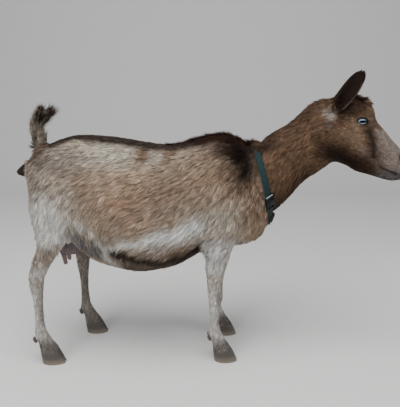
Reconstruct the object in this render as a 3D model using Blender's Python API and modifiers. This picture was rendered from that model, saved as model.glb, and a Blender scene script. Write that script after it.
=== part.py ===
# Life-size still model of a nigerian dwarf goat doe, standing, head turned a little to her right.
# Metres. +X runs towards the head, +Y to the goat's left, +Z up, soles at z = 0.
import math
import random

import bpy
import numpy as np
from mathutils import Vector
from mathutils.bvhtree import BVHTree

# Overall sizes
GAP = 0.0003
VOXEL = 0.0023
BODY_TRIANGLES = 5000
HEAD_BODY_TRIANGLES = 15000

# Head frame: its origin lies between the eyes, its axis drops towards the muzzle
HEAD_ORIGIN = (0.381, 0.586)
HEAD_DROP = math.radians(38.0)
HEAD_TURN = math.radians(14.0)
HEAD_TURN_AT = 0.33
NECK_BEND_FROM = 0.24
NECK_BEND_TO = 0.42

# Eyes
EYE_RADIUS = 0.0130
EYE_SIDE = 0.0410
LID_RADIUS = 0.0158
EYE_GAP = 0.0003
EYE_HALF_LENGTH = 0.0118
EYE_RISE_UPPER = 0.0088
EYE_RISE_LOWER = 0.0072

# Ears
EAR_LENGTH = 0.116
EAR_THICK = 0.0034
EAR_ROOT = (-0.064, 0.040, -0.010)

# Collar
COLLAR_MIDDLE = (0.153, 0.0, 0.437)
COLLAR_UP = (-0.237, 0.0, 0.9715)
COLLAR_WIDTH = 0.014
COLLAR_THICK = 0.0020
COLLAR_PRESS = 0.0015
BUCKLE_LENGTH = 0.053
BUCKLE_WIDTH = 0.021
BUCKLE_HEIGHT = 0.0085

# Longer hair
CREST_LOCKS = 26
CREST_FROM = 0.106
CREST_TO = -0.050
TAIL_LOCKS = 25
FORELOCK_ROWS = 3
FORELOCK_COLUMNS = 5

# Trunk: x, top, bottom, half width, height of the widest line, squareness
TRUNK = (
    (-0.412, 0.478, 0.395, 0.030, 0.55, 2.0),
    (-0.404, 0.500, 0.355, 0.058, 0.58, 2.1),
    (-0.385, 0.521, 0.330, 0.078, 0.60, 2.2),
    (-0.355, 0.534, 0.315, 0.088, 0.60, 2.2),
    (-0.320, 0.546, 0.288, 0.098, 0.56, 2.2),
    (-0.285, 0.552, 0.258, 0.108, 0.50, 2.2),
    (-0.245, 0.551, 0.236, 0.121, 0.45, 2.1),
    (-0.195, 0.546, 0.221, 0.134, 0.42, 2.05),
    (-0.145, 0.538, 0.2135, 0.140, 0.41, 2.05),
    (-0.095, 0.531, 0.221, 0.138, 0.42, 2.05),
    (-0.050, 0.532, 0.234, 0.129, 0.44, 2.05),
    (-0.005, 0.545, 0.258, 0.115, 0.46, 2.1),
    (0.040, 0.556, 0.270, 0.104, 0.46, 2.1),
    (0.080, 0.552, 0.277, 0.098, 0.45, 2.1),
    (0.115, 0.532, 0.284, 0.090, 0.44, 2.1),
    (0.145, 0.500, 0.296, 0.076, 0.45, 2.0),
    (0.165, 0.455, 0.317, 0.056, 0.45, 2.0),
    (0.176, 0.410, 0.345, 0.028, 0.50, 2.0),
)

# Neck: top x, top z, throat x, throat z, half width, height of the widest line, squareness
NECK = (
    (0.030, 0.520, 0.110, 0.330, 0.066, 0.50, 2.0),
    (0.075, 0.534, 0.158, 0.345, 0.072, 0.48, 2.0),
    (0.112, 0.536, 0.194, 0.373, 0.070, 0.48, 2.0),
    (0.141, 0.532, 0.225, 0.405, 0.064, 0.50, 2.0),
    (0.170, 0.555, 0.256, 0.438, 0.058, 0.50, 2.0),
    (0.218, 0.584, 0.291, 0.463, 0.052, 0.52, 2.0),
    (0.262, 0.618, 0.325, 0.487, 0.049, 0.54, 2.0),
    (0.302, 0.640, 0.350, 0.500, 0.046, 0.56, 2.0),
    (0.335, 0.640, 0.372, 0.520, 0.042, 0.56, 2.0),
)

# Head: along the axis, top, bottom, half width, height of the widest line, squareness
HEAD = (
    (-0.082, 0.010, -0.085, 0.034, 0.62, 2.0),
    (-0.060, 0.029, -0.104, 0.043, 0.64, 2.0),
    (-0.034, 0.041, -0.112, 0.0475, 0.66, 2.1),
    (-0.010, 0.045, -0.1145, 0.0485, 0.68, 2.2),
    (0.010, 0.038, -0.1135, 0.0475, 0.69, 2.2),
    (0.028, 0.0275, -0.1085, 0.0430, 0.69, 2.1),
    (0.050, 0.0200, -0.1020, 0.0365, 0.66, 2.1),
    (0.075, 0.0140, -0.0960, 0.0310, 0.62, 2.1),
    (0.098, 0.0100, -0.0860, 0.0280, 0.60, 2.2),
    (0.118, 0.0068, -0.0775, 0.0268, 0.56, 2.3),
    (0.136, 0.0015, -0.0700, 0.0262, 0.54, 2.3),
    (0.151, -0.0065, -0.0610, 0.0235, 0.54, 2.3),
    (0.162, -0.0170, -0.0500, 0.0185, 0.54, 2.2),
    (0.168, -0.0260, -0.0420, 0.0110, 0.54, 2.1),
)

# Legs, each slice: height, front, back, middle y, half width, squareness
HIND = (
    (0.528, -0.325, -0.362, 0.032, 0.018, 2.0),
    (0.500, -0.300, -0.380, 0.041, 0.034, 2.0),
    (0.455, -0.276, -0.396, 0.051, 0.047, 2.1),
    (0.405, -0.264, -0.400, 0.060, 0.048, 2.2),
    (0.365, -0.269, -0.397, 0.065, 0.044, 2.2),
    (0.332, -0.290, -0.392, 0.069, 0.037, 2.1),
    (0.300, -0.318, -0.388, 0.073, 0.0300, 2.0),
    (0.270, -0.342, -0.395, 0.077, 0.0235, 2.0),
    (0.245, -0.358, -0.402, 0.080, 0.0190, 2.0),
    (0.218, -0.370, -0.409, 0.082, 0.0165, 2.0),
    (0.192, -0.375, -0.407, 0.083, 0.0150, 2.0),
    (0.165, -0.378, -0.402, 0.083, 0.0132, 2.0),
    (0.125, -0.379, -0.400, 0.083, 0.0118, 2.0),
    (0.092, -0.377, -0.401, 0.083, 0.0130, 2.0),
    (0.073, -0.371, -0.403, 0.083, 0.0158, 2.1),
    (0.056, -0.361, -0.397, 0.083, 0.0155, 2.1),
    (0.040, -0.350, -0.393, 0.083, 0.0170, 2.2),
    (0.018, -0.339, -0.390, 0.083, 0.0188, 2.3),
    (0.000, -0.331, -0.388, 0.083, 0.0198, 2.3),
    (-0.006, -0.330, -0.388, 0.083, 0.0198, 2.3),
)
FORE = (
    (0.490, 0.075, 0.025, 0.046, 0.034, 2.0),
    (0.440, 0.100, 0.000, 0.053, 0.040, 2.0),
    (0.395, 0.112, -0.012, 0.060, 0.040, 2.1),
    (0.350, 0.108, -0.012, 0.064, 0.037, 2.2),
    (0.318, 0.096, 0.000, 0.067, 0.033, 2.1),
    (0.293, 0.083, 0.007, 0.069, 0.0285, 2.0),
    (0.267, 0.072, 0.012, 0.070, 0.0240, 2.0),
    (0.240, 0.063, 0.013, 0.071, 0.0205, 2.0),
    (0.210, 0.057, 0.016, 0.072, 0.0175, 2.0),
    (0.184, 0.055, 0.018, 0.072, 0.0178, 2.1),
    (0.163, 0.055, 0.020, 0.072, 0.0175, 2.1),
    (0.138, 0.048, 0.022, 0.072, 0.0138, 2.0),
    (0.108, 0.046, 0.024, 0.072, 0.0125, 2.0),
    (0.085, 0.049, 0.022, 0.072, 0.0145, 2.0),
    (0.069, 0.055, 0.020, 0.072, 0.0168, 2.1),
    (0.053, 0.063, 0.027, 0.072, 0.0165, 2.1),
    (0.038, 0.073, 0.031, 0.072, 0.0180, 2.2),
    (0.018, 0.084, 0.033, 0.072, 0.0198, 2.3),
    (0.000, 0.092, 0.035, 0.072, 0.0208, 2.3),
    (-0.006, 0.093, 0.035, 0.072, 0.0208, 2.3),
)
LEFT_HIND_FORWARD = 0.072
LEFT_FORE_FORWARD = 0.008

# Tail, each slice: front x, front z, back x, back z, half width
TAIL = (
    (-0.352, 0.505, -0.385, 0.480, 0.0120),
    (-0.366, 0.530, -0.399, 0.507, 0.0140),
    (-0.377, 0.547, -0.405, 0.533, 0.0130),
    (-0.380, 0.559, -0.408, 0.558, 0.0120),
    (-0.378, 0.572, -0.406, 0.578, 0.0110),
    (-0.372, 0.584, -0.398, 0.594, 0.0090),
    (-0.364, 0.597, -0.382, 0.607, 0.0055),
)

# Mouth edge, each point: along the head, up from its axis
MOUTH_EDGE = (
    (0.096, -0.0475),
    (0.108, -0.0490),
    (0.122, -0.0468),
    (0.138, -0.0432),
    (0.152, -0.0400),
)

# Teat, each slice: height, middle x, radius
TEAT = (
    (0.276, -0.342, 0.0085),
    (0.262, -0.341, 0.0068),
    (0.246, -0.339, 0.0058),
    (0.233, -0.337, 0.0050),
    (0.2295, -0.3365, 0.0026),
)

# Udder, each slice: height, front, back, half width
UDDER = (
    (0.330, -0.285, -0.368, 0.030),
    (0.302, -0.284, -0.370, 0.037),
    (0.282, -0.290, -0.364, 0.037),
    (0.266, -0.298, -0.355, 0.031),
    (0.255, -0.310, -0.345, 0.019),
)


def collection(name):
    group = bpy.data.collections.new(name)
    bpy.context.scene.collection.children.link(group)
    return group


def clear_scene():
    for obj in list(bpy.data.objects):
        bpy.data.objects.remove(obj)


def mesh_object(name, points, faces, home):
    mesh = bpy.data.meshes.new(name)
    mesh.from_pydata([tuple(point) for point in points], [], [tuple(face) for face in faces])
    mesh.update()
    obj = bpy.data.objects.new(name, mesh)
    home.objects.link(obj)
    return obj


def evaluated_mesh(obj):
    bpy.context.view_layer.update()
    graph = bpy.context.evaluated_depsgraph_get()
    return bpy.data.meshes.new_from_object(obj.evaluated_get(graph))


def bake(obj):
    mesh = evaluated_mesh(obj)
    obj.modifiers.clear()
    old = obj.data
    obj.data = mesh
    bpy.data.meshes.remove(old)
    return obj


def copy_of(obj, name, home):
    other = bpy.data.objects.new(name, obj.data.copy())
    home.objects.link(other)
    return other


def boolean(obj, other, operation, solver="EXACT"):
    cut = obj.modifiers.new("cut", "BOOLEAN")
    cut.operation = operation
    cut.object = other
    cut.solver = solver
    return bake(obj)


def points_of(obj):
    values = np.empty(len(obj.data.vertices) * 3)
    obj.data.vertices.foreach_get("co", values)
    return values.reshape(-1, 3)


def set_points(obj, points):
    obj.data.vertices.foreach_set("co", np.ascontiguousarray(points, dtype=np.float32).ravel())
    obj.data.update()


def spline(rows, steps):
    """Rows of numbers with a smooth run between them."""
    rows = np.array(rows, float)
    ends = np.vstack([2 * rows[0] - rows[1], rows, 2 * rows[-1] - rows[-2]])
    out = []
    for index in range(len(rows) - 1):
        a, b, c, d = ends[index : index + 4]
        for step in range(steps):
            t = step / steps
            out.append(
                0.5 * (2 * b + (c - a) * t + (2 * a - 5 * b + 4 * c - d) * t**2 + (3 * b - a - 3 * c + d) * t**3)
            )
    out.append(rows[-1])
    return np.array(out)


def ring(top, bottom, middle_y, half, wide, power, around):
    """An egg-shaped ring spanned by a line from bottom to top and by Y, widest at a part `wide` of it."""
    angle = np.arange(around) * 2 * math.pi / around
    side = np.sign(np.cos(angle)) * np.abs(np.cos(angle)) ** (2 / power) * half
    rise = np.sign(np.sin(angle)) * np.abs(np.sin(angle)) ** (2 / power)
    part = np.where(rise > 0, rise * (1 - wide), rise * wide) + wide
    x = bottom[0] + (top[0] - bottom[0]) * part
    z = bottom[1] + (top[1] - bottom[1]) * part
    return np.column_stack([x, middle_y + side, z])


def skin_of_rings(rings):
    """Points and faces of a closed body through the rings, with a fan at each end."""
    count = len(rings[0])
    points = np.vstack(rings + [rings[0].mean(axis=0)[None], rings[-1].mean(axis=0)[None]])
    faces = []
    for level in range(len(rings) - 1):
        for step in range(count):
            after = (step + 1) % count
            low = level * count
            high = low + count
            faces.append((low + step, low + after, high + after, high + step))
    first = len(rings) * count
    last = (len(rings) - 1) * count
    for step in range(count):
        after = (step + 1) % count
        faces.append((first, after, step))
        faces.append((first + 1, last + step, last + after))
    return points, faces


def faced_out(points, faces):
    """The faces turned round where the body came out inside out."""
    volume = 0.0
    for face in faces:
        a = points[face[0]]
        for b, c in zip(face[1:-1], face[2:]):
            volume += np.dot(a, np.cross(points[b], points[c]))
    return faces if volume > 0 else [tuple(reversed(face)) for face in faces]


def lofted(name, sections, around, steps, home, place=None):
    """A closed body through sections of top, bottom, y, half, wide and power, eight numbers each."""
    rings = []
    for row in spline(sections, steps):
        rings.append(ring(row[0:2], row[2:4], row[4], max(row[5], 0.001), row[6], row[7], around))
    if place is not None:
        rings = [place(points) for points in rings]
    points, faces = skin_of_rings(rings)
    return mesh_object(name, points, faced_out(points, faces), home)


def neck_y(x):
    """The neck bends smoothly into the turn of the head."""
    run = np.clip((x - NECK_BEND_FROM) / (NECK_BEND_TO - NECK_BEND_FROM), 0.0, 1.0)
    bend = (NECK_BEND_TO - NECK_BEND_FROM) / 2 * run**2 + np.clip(x - NECK_BEND_TO, 0.0, None)
    return -math.tan(HEAD_TURN) * bend


def head_to_world(points):
    """Places points given as (along the head, to the left, up from its axis)."""
    points = np.asarray(points, float)
    along, side, up = points[..., 0], points[..., 1], points[..., 2]
    x = HEAD_ORIGIN[0] + along * math.cos(HEAD_DROP) + up * math.sin(HEAD_DROP)
    z = HEAD_ORIGIN[1] - along * math.sin(HEAD_DROP) + up * math.cos(HEAD_DROP)
    cos, sin = math.cos(HEAD_TURN), math.sin(HEAD_TURN)
    forward = x - HEAD_TURN_AT
    return np.stack([HEAD_TURN_AT + forward * cos + side * sin, -forward * sin + side * cos, z], axis=-1)


def world_to_head(points):
    points = np.asarray(points, float)
    cos, sin = math.cos(HEAD_TURN), math.sin(HEAD_TURN)
    dx, dy = points[..., 0] - HEAD_TURN_AT, points[..., 1]
    x = HEAD_TURN_AT + dx * cos - dy * sin - HEAD_ORIGIN[0]
    side = dx * sin + dy * cos
    z = points[..., 2] - HEAD_ORIGIN[1]
    along = x * math.cos(HEAD_DROP) - z * math.sin(HEAD_DROP)
    up = x * math.sin(HEAD_DROP) + z * math.cos(HEAD_DROP)
    return np.stack([along, side, up], axis=-1)


def head_direction(vector):
    start = head_to_world(np.zeros(3))
    end = head_to_world(np.array(vector, float))
    return (end - start) / np.linalg.norm(end - start)


def trunk(home):
    rows = [(x, top, x, bottom, 0.0, half, wide, power) for x, top, bottom, half, wide, power in TRUNK]
    return lofted("trunk", rows, 56, 3, home)


def neck(home):
    rows = []
    for top_x, top_z, low_x, low_z, half, wide, power in NECK:
        rows.append((top_x, top_z, low_x, low_z, neck_y((top_x + low_x) / 2), half, wide, power))
    return lofted("neck_form", rows, 44, 3, home)


def head(home):
    rows = [(at, top, at, bottom, 0.0, half, wide, power) for at, top, bottom, half, wide, power in HEAD]
    return lofted("head_form", rows, 48, 3, home, head_to_world)


def leg(name, slices, side, forward, home):
    """A leg from horizontal slices. Below the thigh it may stand further forward."""
    rows = []
    for z, front, back, middle, half, power in slices:
        run = min(max((0.37 - z) / 0.16, 0.0), 1.0)
        shift = forward * run * run * (3 - 2 * run)
        rows.append((front + shift, z, back + shift, z, side * middle, half, 0.5, power))
    return lofted(name, rows, 28, 3, home)


def dewclaws(name, x, y, home):
    """Two short blunt claws behind a fetlock."""
    made = []
    for side in (-1, 1):
        bpy.ops.mesh.primitive_uv_sphere_add(segments=12, ring_count=8, radius=1.0)
        obj = bpy.context.object
        obj.name = f"{name}_{side}"
        points = points_of(obj) * (0.0065, 0.0048, 0.0085)
        set_points(obj, points + (x, y + side * 0.0095, 0.062))
        for group in list(obj.users_collection):
            group.objects.unlink(obj)
        home.objects.link(obj)
        made.append(obj)
    return made


def vulva(home):
    rows = (
        (-0.385, 0.500, -0.385, 0.460, 0.0, 0.016, 0.5, 2.0),
        (-0.405, 0.497, -0.408, 0.452, 0.0, 0.016, 0.5, 2.0),
        (-0.424, 0.486, -0.428, 0.449, 0.0, 0.0140, 0.5, 2.0),
        (-0.441, 0.474, -0.440, 0.451, 0.0, 0.0100, 0.5, 2.0),
        (-0.450, 0.465, -0.449, 0.455, 0.0, 0.0055, 0.5, 2.0),
    )
    return lofted("vulva_form", rows, 16, 2, home)


def fused_body(home):
    """All the flesh as one closed surface of fine even quads."""
    pieces = [trunk(home), neck(home), head(home), vulva(home)]
    pieces.append(leg("hind_right", HIND, -1, 0.0, home))
    pieces.append(leg("hind_left", HIND, 1, LEFT_HIND_FORWARD, home))
    pieces.append(leg("fore_right", FORE, -1, 0.0, home))
    pieces.append(leg("fore_left", FORE, 1, LEFT_FORE_FORWARD, home))
    pieces += dewclaws("dew_hind_right", -0.404, -0.083, home)
    pieces += dewclaws("dew_hind_left", -0.404 + LEFT_HIND_FORWARD, 0.083, home)
    pieces += dewclaws("dew_fore_right", 0.020, -0.072, home)
    pieces += dewclaws("dew_fore_left", 0.020 + LEFT_FORE_FORWARD, 0.072, home)
    points, faces, start = [], [], 0
    for piece in pieces:
        own = points_of(piece)
        points.append(own)
        faces += [tuple(start + index for index in face.vertices) for face in piece.data.polygons]
        start += len(own)
        bpy.data.objects.remove(piece)
    body = mesh_object("body", np.vstack(points), faces, home)
    skin = body.modifiers.new("one skin", "REMESH")
    skin.mode = "VOXEL"
    skin.voxel_size = VOXEL
    return bake(body)


def edges_of(obj):
    pairs = np.empty(len(obj.data.edges) * 2, dtype=np.int64)
    obj.data.edges.foreach_get("vertices", pairs)
    return pairs.reshape(-1, 2)


def smoothed(points, pairs, rounds, weight=None):
    """Evens the surface out without shrinking it; a weight per point limits where."""
    count = len(points)
    degree = np.bincount(pairs.ravel(), minlength=count)[:, None]
    strength = 1.0 if weight is None else weight[:, None]
    for _ in range(rounds):
        for factor in (0.62, -0.64):
            total = np.empty_like(points)
            for axis in range(3):
                total[:, axis] = np.bincount(pairs[:, 0], points[pairs[:, 1], axis], count)
                total[:, axis] += np.bincount(pairs[:, 1], points[pairs[:, 0], axis], count)
            points = points + factor * strength * (total / degree - points)
    return points


def settled(points, pairs, rounds):
    """Lets the flesh run smoothly over the places where limbs and neck join the trunk."""
    weight = np.zeros(len(points))
    for centre, reach in JOINS:
        for side in (1, -1):
            away = (points - np.array([centre[0], centre[1] * side, centre[2]])) / np.array(reach)
            weight = np.maximum(weight, np.exp(-((away**2).sum(axis=1) ** 2)))
    degree = np.bincount(pairs.ravel(), minlength=len(points))
    for _ in range(rounds):
        for axis in range(3):
            total = np.bincount(pairs[:, 0], points[pairs[:, 1], axis], len(points))
            total += np.bincount(pairs[:, 1], points[pairs[:, 0], axis], len(points))
            points[:, axis] += 0.5 * weight * (total / degree - points[:, axis])
    return points


def normals_of(obj):
    values = np.empty(len(obj.data.vertices) * 3)
    obj.data.vertices.foreach_get("normal", values)
    return values.reshape(-1, 3)


def stroke(local, normals, moved, centre, reach, amount, mirror=True):
    """Swells (or hollows, below zero) the surface along its normals round a centre."""
    for side in (1, -1) if mirror else (1,):
        away = (local - np.array([centre[0], centre[1] * side, centre[2]])) / np.array(reach)
        moved += normals * (amount * np.exp(-(away**2).sum(axis=1)))[:, None]


def sculpt(body):
    """Muscle, bone and face forms worked into the even surface."""
    pairs = edges_of(body)
    points = smoothed(points_of(body), pairs, 9)
    points = settled(points, pairs, 110)
    set_points(body, points)
    normals = normals_of(body)
    moved = np.zeros_like(points)
    for centre, reach, amount in TRUNK_STROKES:
        stroke(points, normals, moved, centre, reach, amount)
    points = points + moved
    set_points(body, points)
    local = world_to_head(points)
    normals = normals_of(body)
    moved = np.zeros_like(points)
    for centre, reach, amount in HEAD_STROKES:
        stroke(local, normals, moved, centre, reach, amount)
    set_points(body, points + moved)
    return body


# Joins that are evened out: centre (y to either side), reach
JOINS = (
    ((0.050, 0.100, 0.420), (0.085, 0.045, 0.085)),
    ((0.030, 0.070, 0.300), (0.055, 0.045, 0.030)),
    ((-0.335, 0.085, 0.500), (0.080, 0.040, 0.050)),
    ((-0.262, 0.105, 0.400), (0.040, 0.045, 0.100)),
    ((-0.285, 0.070, 0.285), (0.045, 0.045, 0.035)),
    ((-0.395, 0.030, 0.420), (0.020, 0.030, 0.080)),
    ((0.130, 0.065, 0.450), (0.050, 0.045, 0.100)),
    ((0.110, 0.000, 0.530), (0.040, 0.050, 0.030)),
    ((0.345, 0.000, 0.490), (0.030, 0.050, 0.025)),
    ((0.310, 0.000, 0.600), (0.040, 0.070, 0.060)),
)

# Strokes: centre (y to either side), reach, amount
TRUNK_STROKES = (
    ((-0.285, 0.060, 0.535), (0.030, 0.022, 0.022), 0.0050),
    ((0.050, 0.000, 0.556), (0.060, 0.022, 0.020), -0.0022),
    ((-0.395, 0.045, 0.480), (0.022, 0.020, 0.022), 0.0050),
    ((-0.235, 0.110, 0.490), (0.045, 0.040, 0.045), -0.0080),
    ((-0.270, 0.100, 0.330), (0.030, 0.040, 0.060), 0.0040),
    ((0.055, 0.085, 0.440), (0.040, 0.040, 0.070), 0.0060),
    ((0.110, 0.075, 0.380), (0.030, 0.040, 0.035), 0.0070),
    ((0.000, 0.085, 0.345), (0.040, 0.040, 0.050), 0.0060),
    ((-0.035, 0.100, 0.420), (0.022, 0.050, 0.080), -0.0040),
    ((0.130, 0.050, 0.500), (0.025, 0.040, 0.035), -0.0030),
    ((-0.340, 0.100, 0.400), (0.060, 0.050, 0.060), 0.0040),
)
HEAD_STROKES = (
    ((0.000, 0.050, 0.003), (0.028, 0.020, 0.024), 0.0035),
    ((-0.004, 0.046, 0.022), (0.022, 0.016, 0.011), 0.0050),
    ((0.014, 0.046, 0.010), (0.013, 0.014, 0.010), 0.0025),
    ((0.004, 0.050, -0.021), (0.022, 0.016, 0.008), 0.0025),
    ((0.036, 0.038, -0.012), (0.016, 0.016, 0.014), -0.0040),
    ((-0.040, 0.045, -0.010), (0.016, 0.018, 0.022), -0.0030),
    ((0.010, 0.040, -0.062), (0.030, 0.022, 0.028), 0.0060),
    ((0.060, 0.030, -0.045), (0.026, 0.018, 0.016), -0.0035),
    ((0.055, 0.020, 0.018), (0.026, 0.014, 0.012), 0.0020),
    ((0.040, 0.000, 0.030), (0.020, 0.016, 0.012), -0.0030),
    ((0.130, 0.020, -0.008), (0.016, 0.012, 0.011), 0.0034),
    ((0.144, 0.018, -0.016), (0.008, 0.008, 0.006), -0.0016),
    ((0.134, 0.024, -0.034), (0.020, 0.012, 0.008), 0.0034),
    ((0.134, 0.020, -0.056), (0.018, 0.014, 0.009), 0.0016),
    ((0.156, 0.000, -0.028), (0.010, 0.003, 0.014), -0.0024),
    ((0.090, 0.026, -0.070), (0.026, 0.014, 0.010), -0.0020),
)


def decimated(body, name, triangles, home):
    obj = copy_of(body, name, home)
    light = obj.modifiers.new("light", "DECIMATE")
    light.use_collapse_triangulate = True
    light.ratio = triangles / (2 * len(obj.data.polygons))
    return bake(obj)


def slab(name, outline, low_y, high_y, home):
    """A plate with the outline given in x and z, from one y to another."""
    count = len(outline)
    points = [(x, low_y, z) for x, z in outline] + [(x, high_y, z) for x, z in outline]
    faces = [tuple(range(count)), tuple(range(2 * count - 1, count - 1, -1))]
    for step in range(count):
        after = (step + 1) % count
        faces.append((step, step + count, after + count, after))
    points = np.array(points)
    return mesh_object(name, points, faced_out(points, faces), home)


def largest(obj):
    """Keeps only the largest closed surface."""
    pairs = edges_of(obj)
    count = len(obj.data.vertices)
    label = np.arange(count)
    while True:
        low = np.minimum(label[pairs[:, 0]], label[pairs[:, 1]])
        new = label.copy()
        np.minimum.at(new, pairs[:, 0], low)
        np.minimum.at(new, pairs[:, 1], low)
        new = new[new]
        if (new == label).all():
            break
        label = new
    return keep_label(obj, label, biggest_label(obj, label))


def biggest_label(obj, label):
    points = points_of(obj)
    volume = {}
    for face in obj.data.polygons:
        corners = face.vertices
        a = points[corners[0]]
        for b, c in zip(corners[1:-1], corners[2:]):
            key = label[corners[0]]
            volume[key] = volume.get(key, 0.0) + float(np.dot(a, np.cross(points[b], points[c])))
    return max(volume, key=volume.get)


def keep_label(obj, label, wanted):
    points = points_of(obj)
    kept = np.flatnonzero(label == wanted)
    if len(kept) == len(points):
        return obj
    index = np.full(len(points), -1)
    index[kept] = np.arange(len(kept))
    faces = []
    for face in obj.data.polygons:
        if label[face.vertices[0]] == wanted:
            faces.append(tuple(int(index[corner]) for corner in face.vertices))
    mesh = bpy.data.meshes.new(obj.name)
    mesh.from_pydata([tuple(point) for point in points[kept]], [], faces)
    old = obj.data
    obj.data = mesh
    bpy.data.meshes.remove(old)
    return obj


def offset_outline(outline, amount):
    """The outline moved outwards all round."""
    points = np.array(outline, float)
    ahead = np.roll(points, -1, axis=0)
    area = (points[:, 0] * ahead[:, 1] - ahead[:, 0] * points[:, 1]).sum()
    run = (ahead - points) / np.linalg.norm(ahead - points, axis=1)[:, None]
    out = np.column_stack([run[:, 1], -run[:, 0]]) * math.copysign(1.0, area)
    before = np.roll(out, 1, axis=0)
    shift = (out + before) / (1 + (out * before).sum(axis=1))[:, None]
    return [tuple(point) for point in points + shift * amount]


def split_off(body, name, outline, low_y, high_y, home, cutters):
    """The part of the body inside a plate becomes its own node, a thin gap away."""
    cutter = slab(f"{name}_cutter", outline, low_y, high_y, cutters)
    piece = boolean(copy_of(body, name, home), cutter, "INTERSECT")
    wide = slab(f"{name}_gap", offset_outline(outline, GAP), low_y - GAP, high_y + GAP, cutters)
    boolean(body, wide, "DIFFERENCE")
    return largest(piece)


def grown_copy(obj, name, amount, home):
    """A copy a little larger all over, for cutting a neighbour with a gap."""
    other = copy_of(obj, name, home)
    swell = other.modifiers.new("gap", "DISPLACE")
    swell.strength = amount
    swell.mid_level = 0.0
    return bake(other)


def trim(piece, host, amount, cutters, solver="EXACT"):
    """Cuts the piece back to the host's surface, with a gap."""
    cutter = grown_copy(host, f"{piece.name}_seat", amount, cutters)
    boolean(piece, cutter, "DIFFERENCE", solver)
    return largest(piece)


def eye_frame(side):
    """Axes of an eye: out along its axis, along the lids towards the nose, and up."""
    out = np.array([0.30, 0.945 * side, 0.10])
    out /= np.linalg.norm(out)
    along = np.array([math.cos(math.radians(22)), 0.0, math.sin(math.radians(22))])
    along -= out * np.dot(along, out)
    along /= np.linalg.norm(along)
    up = np.cross(along, out) * side
    if up[2] < 0:
        up = -up
    return out, along, up


def eye_ball(name, side, radius, home, segments=16, rings=9):
    """A ball with its poles along the eye's axis."""
    out, along, up = eye_frame(side)
    centre = np.array([0.0, side * EYE_SIDE, 0.0])
    points = [centre + out * radius]
    for level in range(1, rings):
        tilt = math.pi * level / rings
        for step in range(segments):
            turn = 2 * math.pi * step / segments
            flat = along * math.cos(turn) + up * math.sin(turn)
            points.append(centre + radius * (out * math.cos(tilt) + flat * math.sin(tilt)))
    points.append(centre - out * radius)
    faces = []
    for step in range(segments):
        after = (step + 1) % segments
        faces.append((0, 1 + step, 1 + after))
        last = 1 + (rings - 2) * segments
        faces.append((len(points) - 1, last + after, last + step))
        for level in range(rings - 2):
            low = 1 + level * segments
            faces.append((low + step, low + segments + step, low + segments + after, low + after))
    points = head_to_world(np.array(points))
    return mesh_object(name, points, faced_out(points, faces), home)


def lid_opening(name, side, home):
    """A cutter shaped like the opening between the lids, widening outwards."""
    out, along, up = eye_frame(side)
    centre = np.array([0.0, side * EYE_SIDE, 0.0])
    count = 28
    rings = []
    for depth, spread in ((0.004, 0.86), (0.0120, 1.0), (0.0175, 1.10), (0.030, 1.30)):
        row = []
        for step in range(count):
            turn = 2 * math.pi * step / count
            height = EYE_RISE_UPPER if math.sin(turn) > 0 else EYE_RISE_LOWER
            rise = math.copysign(abs(math.sin(turn)) ** 1.25, math.sin(turn)) * height
            reach = math.cos(turn) * EYE_HALF_LENGTH
            row.append(centre + out * depth + (along * reach + up * rise) * spread)
        rings.append(head_to_world(np.array(row)))
    points, faces = skin_of_rings(rings)
    return mesh_object(name, points, faced_out(points, faces), home)


def lid_mound(local):
    """Moves the skin near each eye out onto a round mound for the lids."""
    moved = np.zeros_like(local)
    for side in (1, -1):
        out, along, up = eye_frame(side)
        centre = np.array([0.0, side * EYE_SIDE, 0.0])
        away = local - centre
        distance = np.linalg.norm(away, axis=1)
        facing = np.clip((away @ out) / np.maximum(distance, 1e-6), 0.0, 1.0)
        flat = np.sqrt(np.maximum(distance**2 - (away @ out) ** 2, 0.0))
        near = np.exp(-((flat / 0.0190) ** 6)) * (facing > 0.25) * (distance < 0.035)
        height = np.maximum(LID_RADIUS - distance, 0.0)
        lower = np.minimum(LID_RADIUS - distance, 0.0) * np.exp(-((flat / 0.0120) ** 4))
        moved += (away / np.maximum(distance, 1e-6)[:, None]) * ((height + lower) * near)[:, None]
    return moved


def ear(name, side, home):
    """A cup with a nearly closed root and a pointed tip, its opening turned out and forward."""
    axis = np.array([0.00, 0.46 * side, 0.89])
    axis /= np.linalg.norm(axis)
    face = np.array([0.42, 0.80 * side, -0.40])
    face -= axis * np.dot(face, axis)
    face /= np.linalg.norm(face)
    across = np.cross(axis, face)
    shape = spline(
        (
            (0.00, 0.0120, 145.0, 0.000),
            (0.15, 0.0138, 132.0, 0.000),
            (0.32, 0.0160, 108.0, -0.001),
            (0.50, 0.0178, 86.0, -0.003),
            (0.68, 0.0190, 68.0, -0.004),
            (0.82, 0.0198, 50.0, -0.004),
            (0.92, 0.0204, 32.0, -0.002),
            (0.98, 0.0208, 14.0, 0.000),
            (1.00, 0.0208, 4.0, 0.001),
        ),
        1,
    )
    root = np.array([EAR_ROOT[0], EAR_ROOT[1] * side, EAR_ROOT[2]])
    columns = 11
    points = []
    for part, radius, turn, lean in shape:
        spine = root + axis * EAR_LENGTH * (part - 0.16) + face * (lean - 0.012)
        for step in range(columns):
            angle = math.radians(turn) * (2 * step / (columns - 1) - 1)
            offset = across * math.sin(angle) + face * (1 - math.cos(angle))
            points.append(spine + radius * offset)
    faces = []
    for level in range(len(shape) - 1):
        for step in range(columns - 1):
            low = level * columns + step
            faces.append((low, low + 1, low + columns + 1, low + columns))
    obj = mesh_object(name, head_to_world(np.array(points)), faces, home)
    shell = obj.modifiers.new("shell", "SOLIDIFY")
    shell.thickness = EAR_THICK
    shell.offset = 0.0
    bake(obj)
    own = points_of(obj)
    turned = faced_out(own, [tuple(face.vertices) for face in obj.data.polygons])
    mesh = bpy.data.meshes.new(name)
    mesh.from_pydata([tuple(point) for point in own], [], turned)
    obj.data = mesh
    return obj


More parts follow.
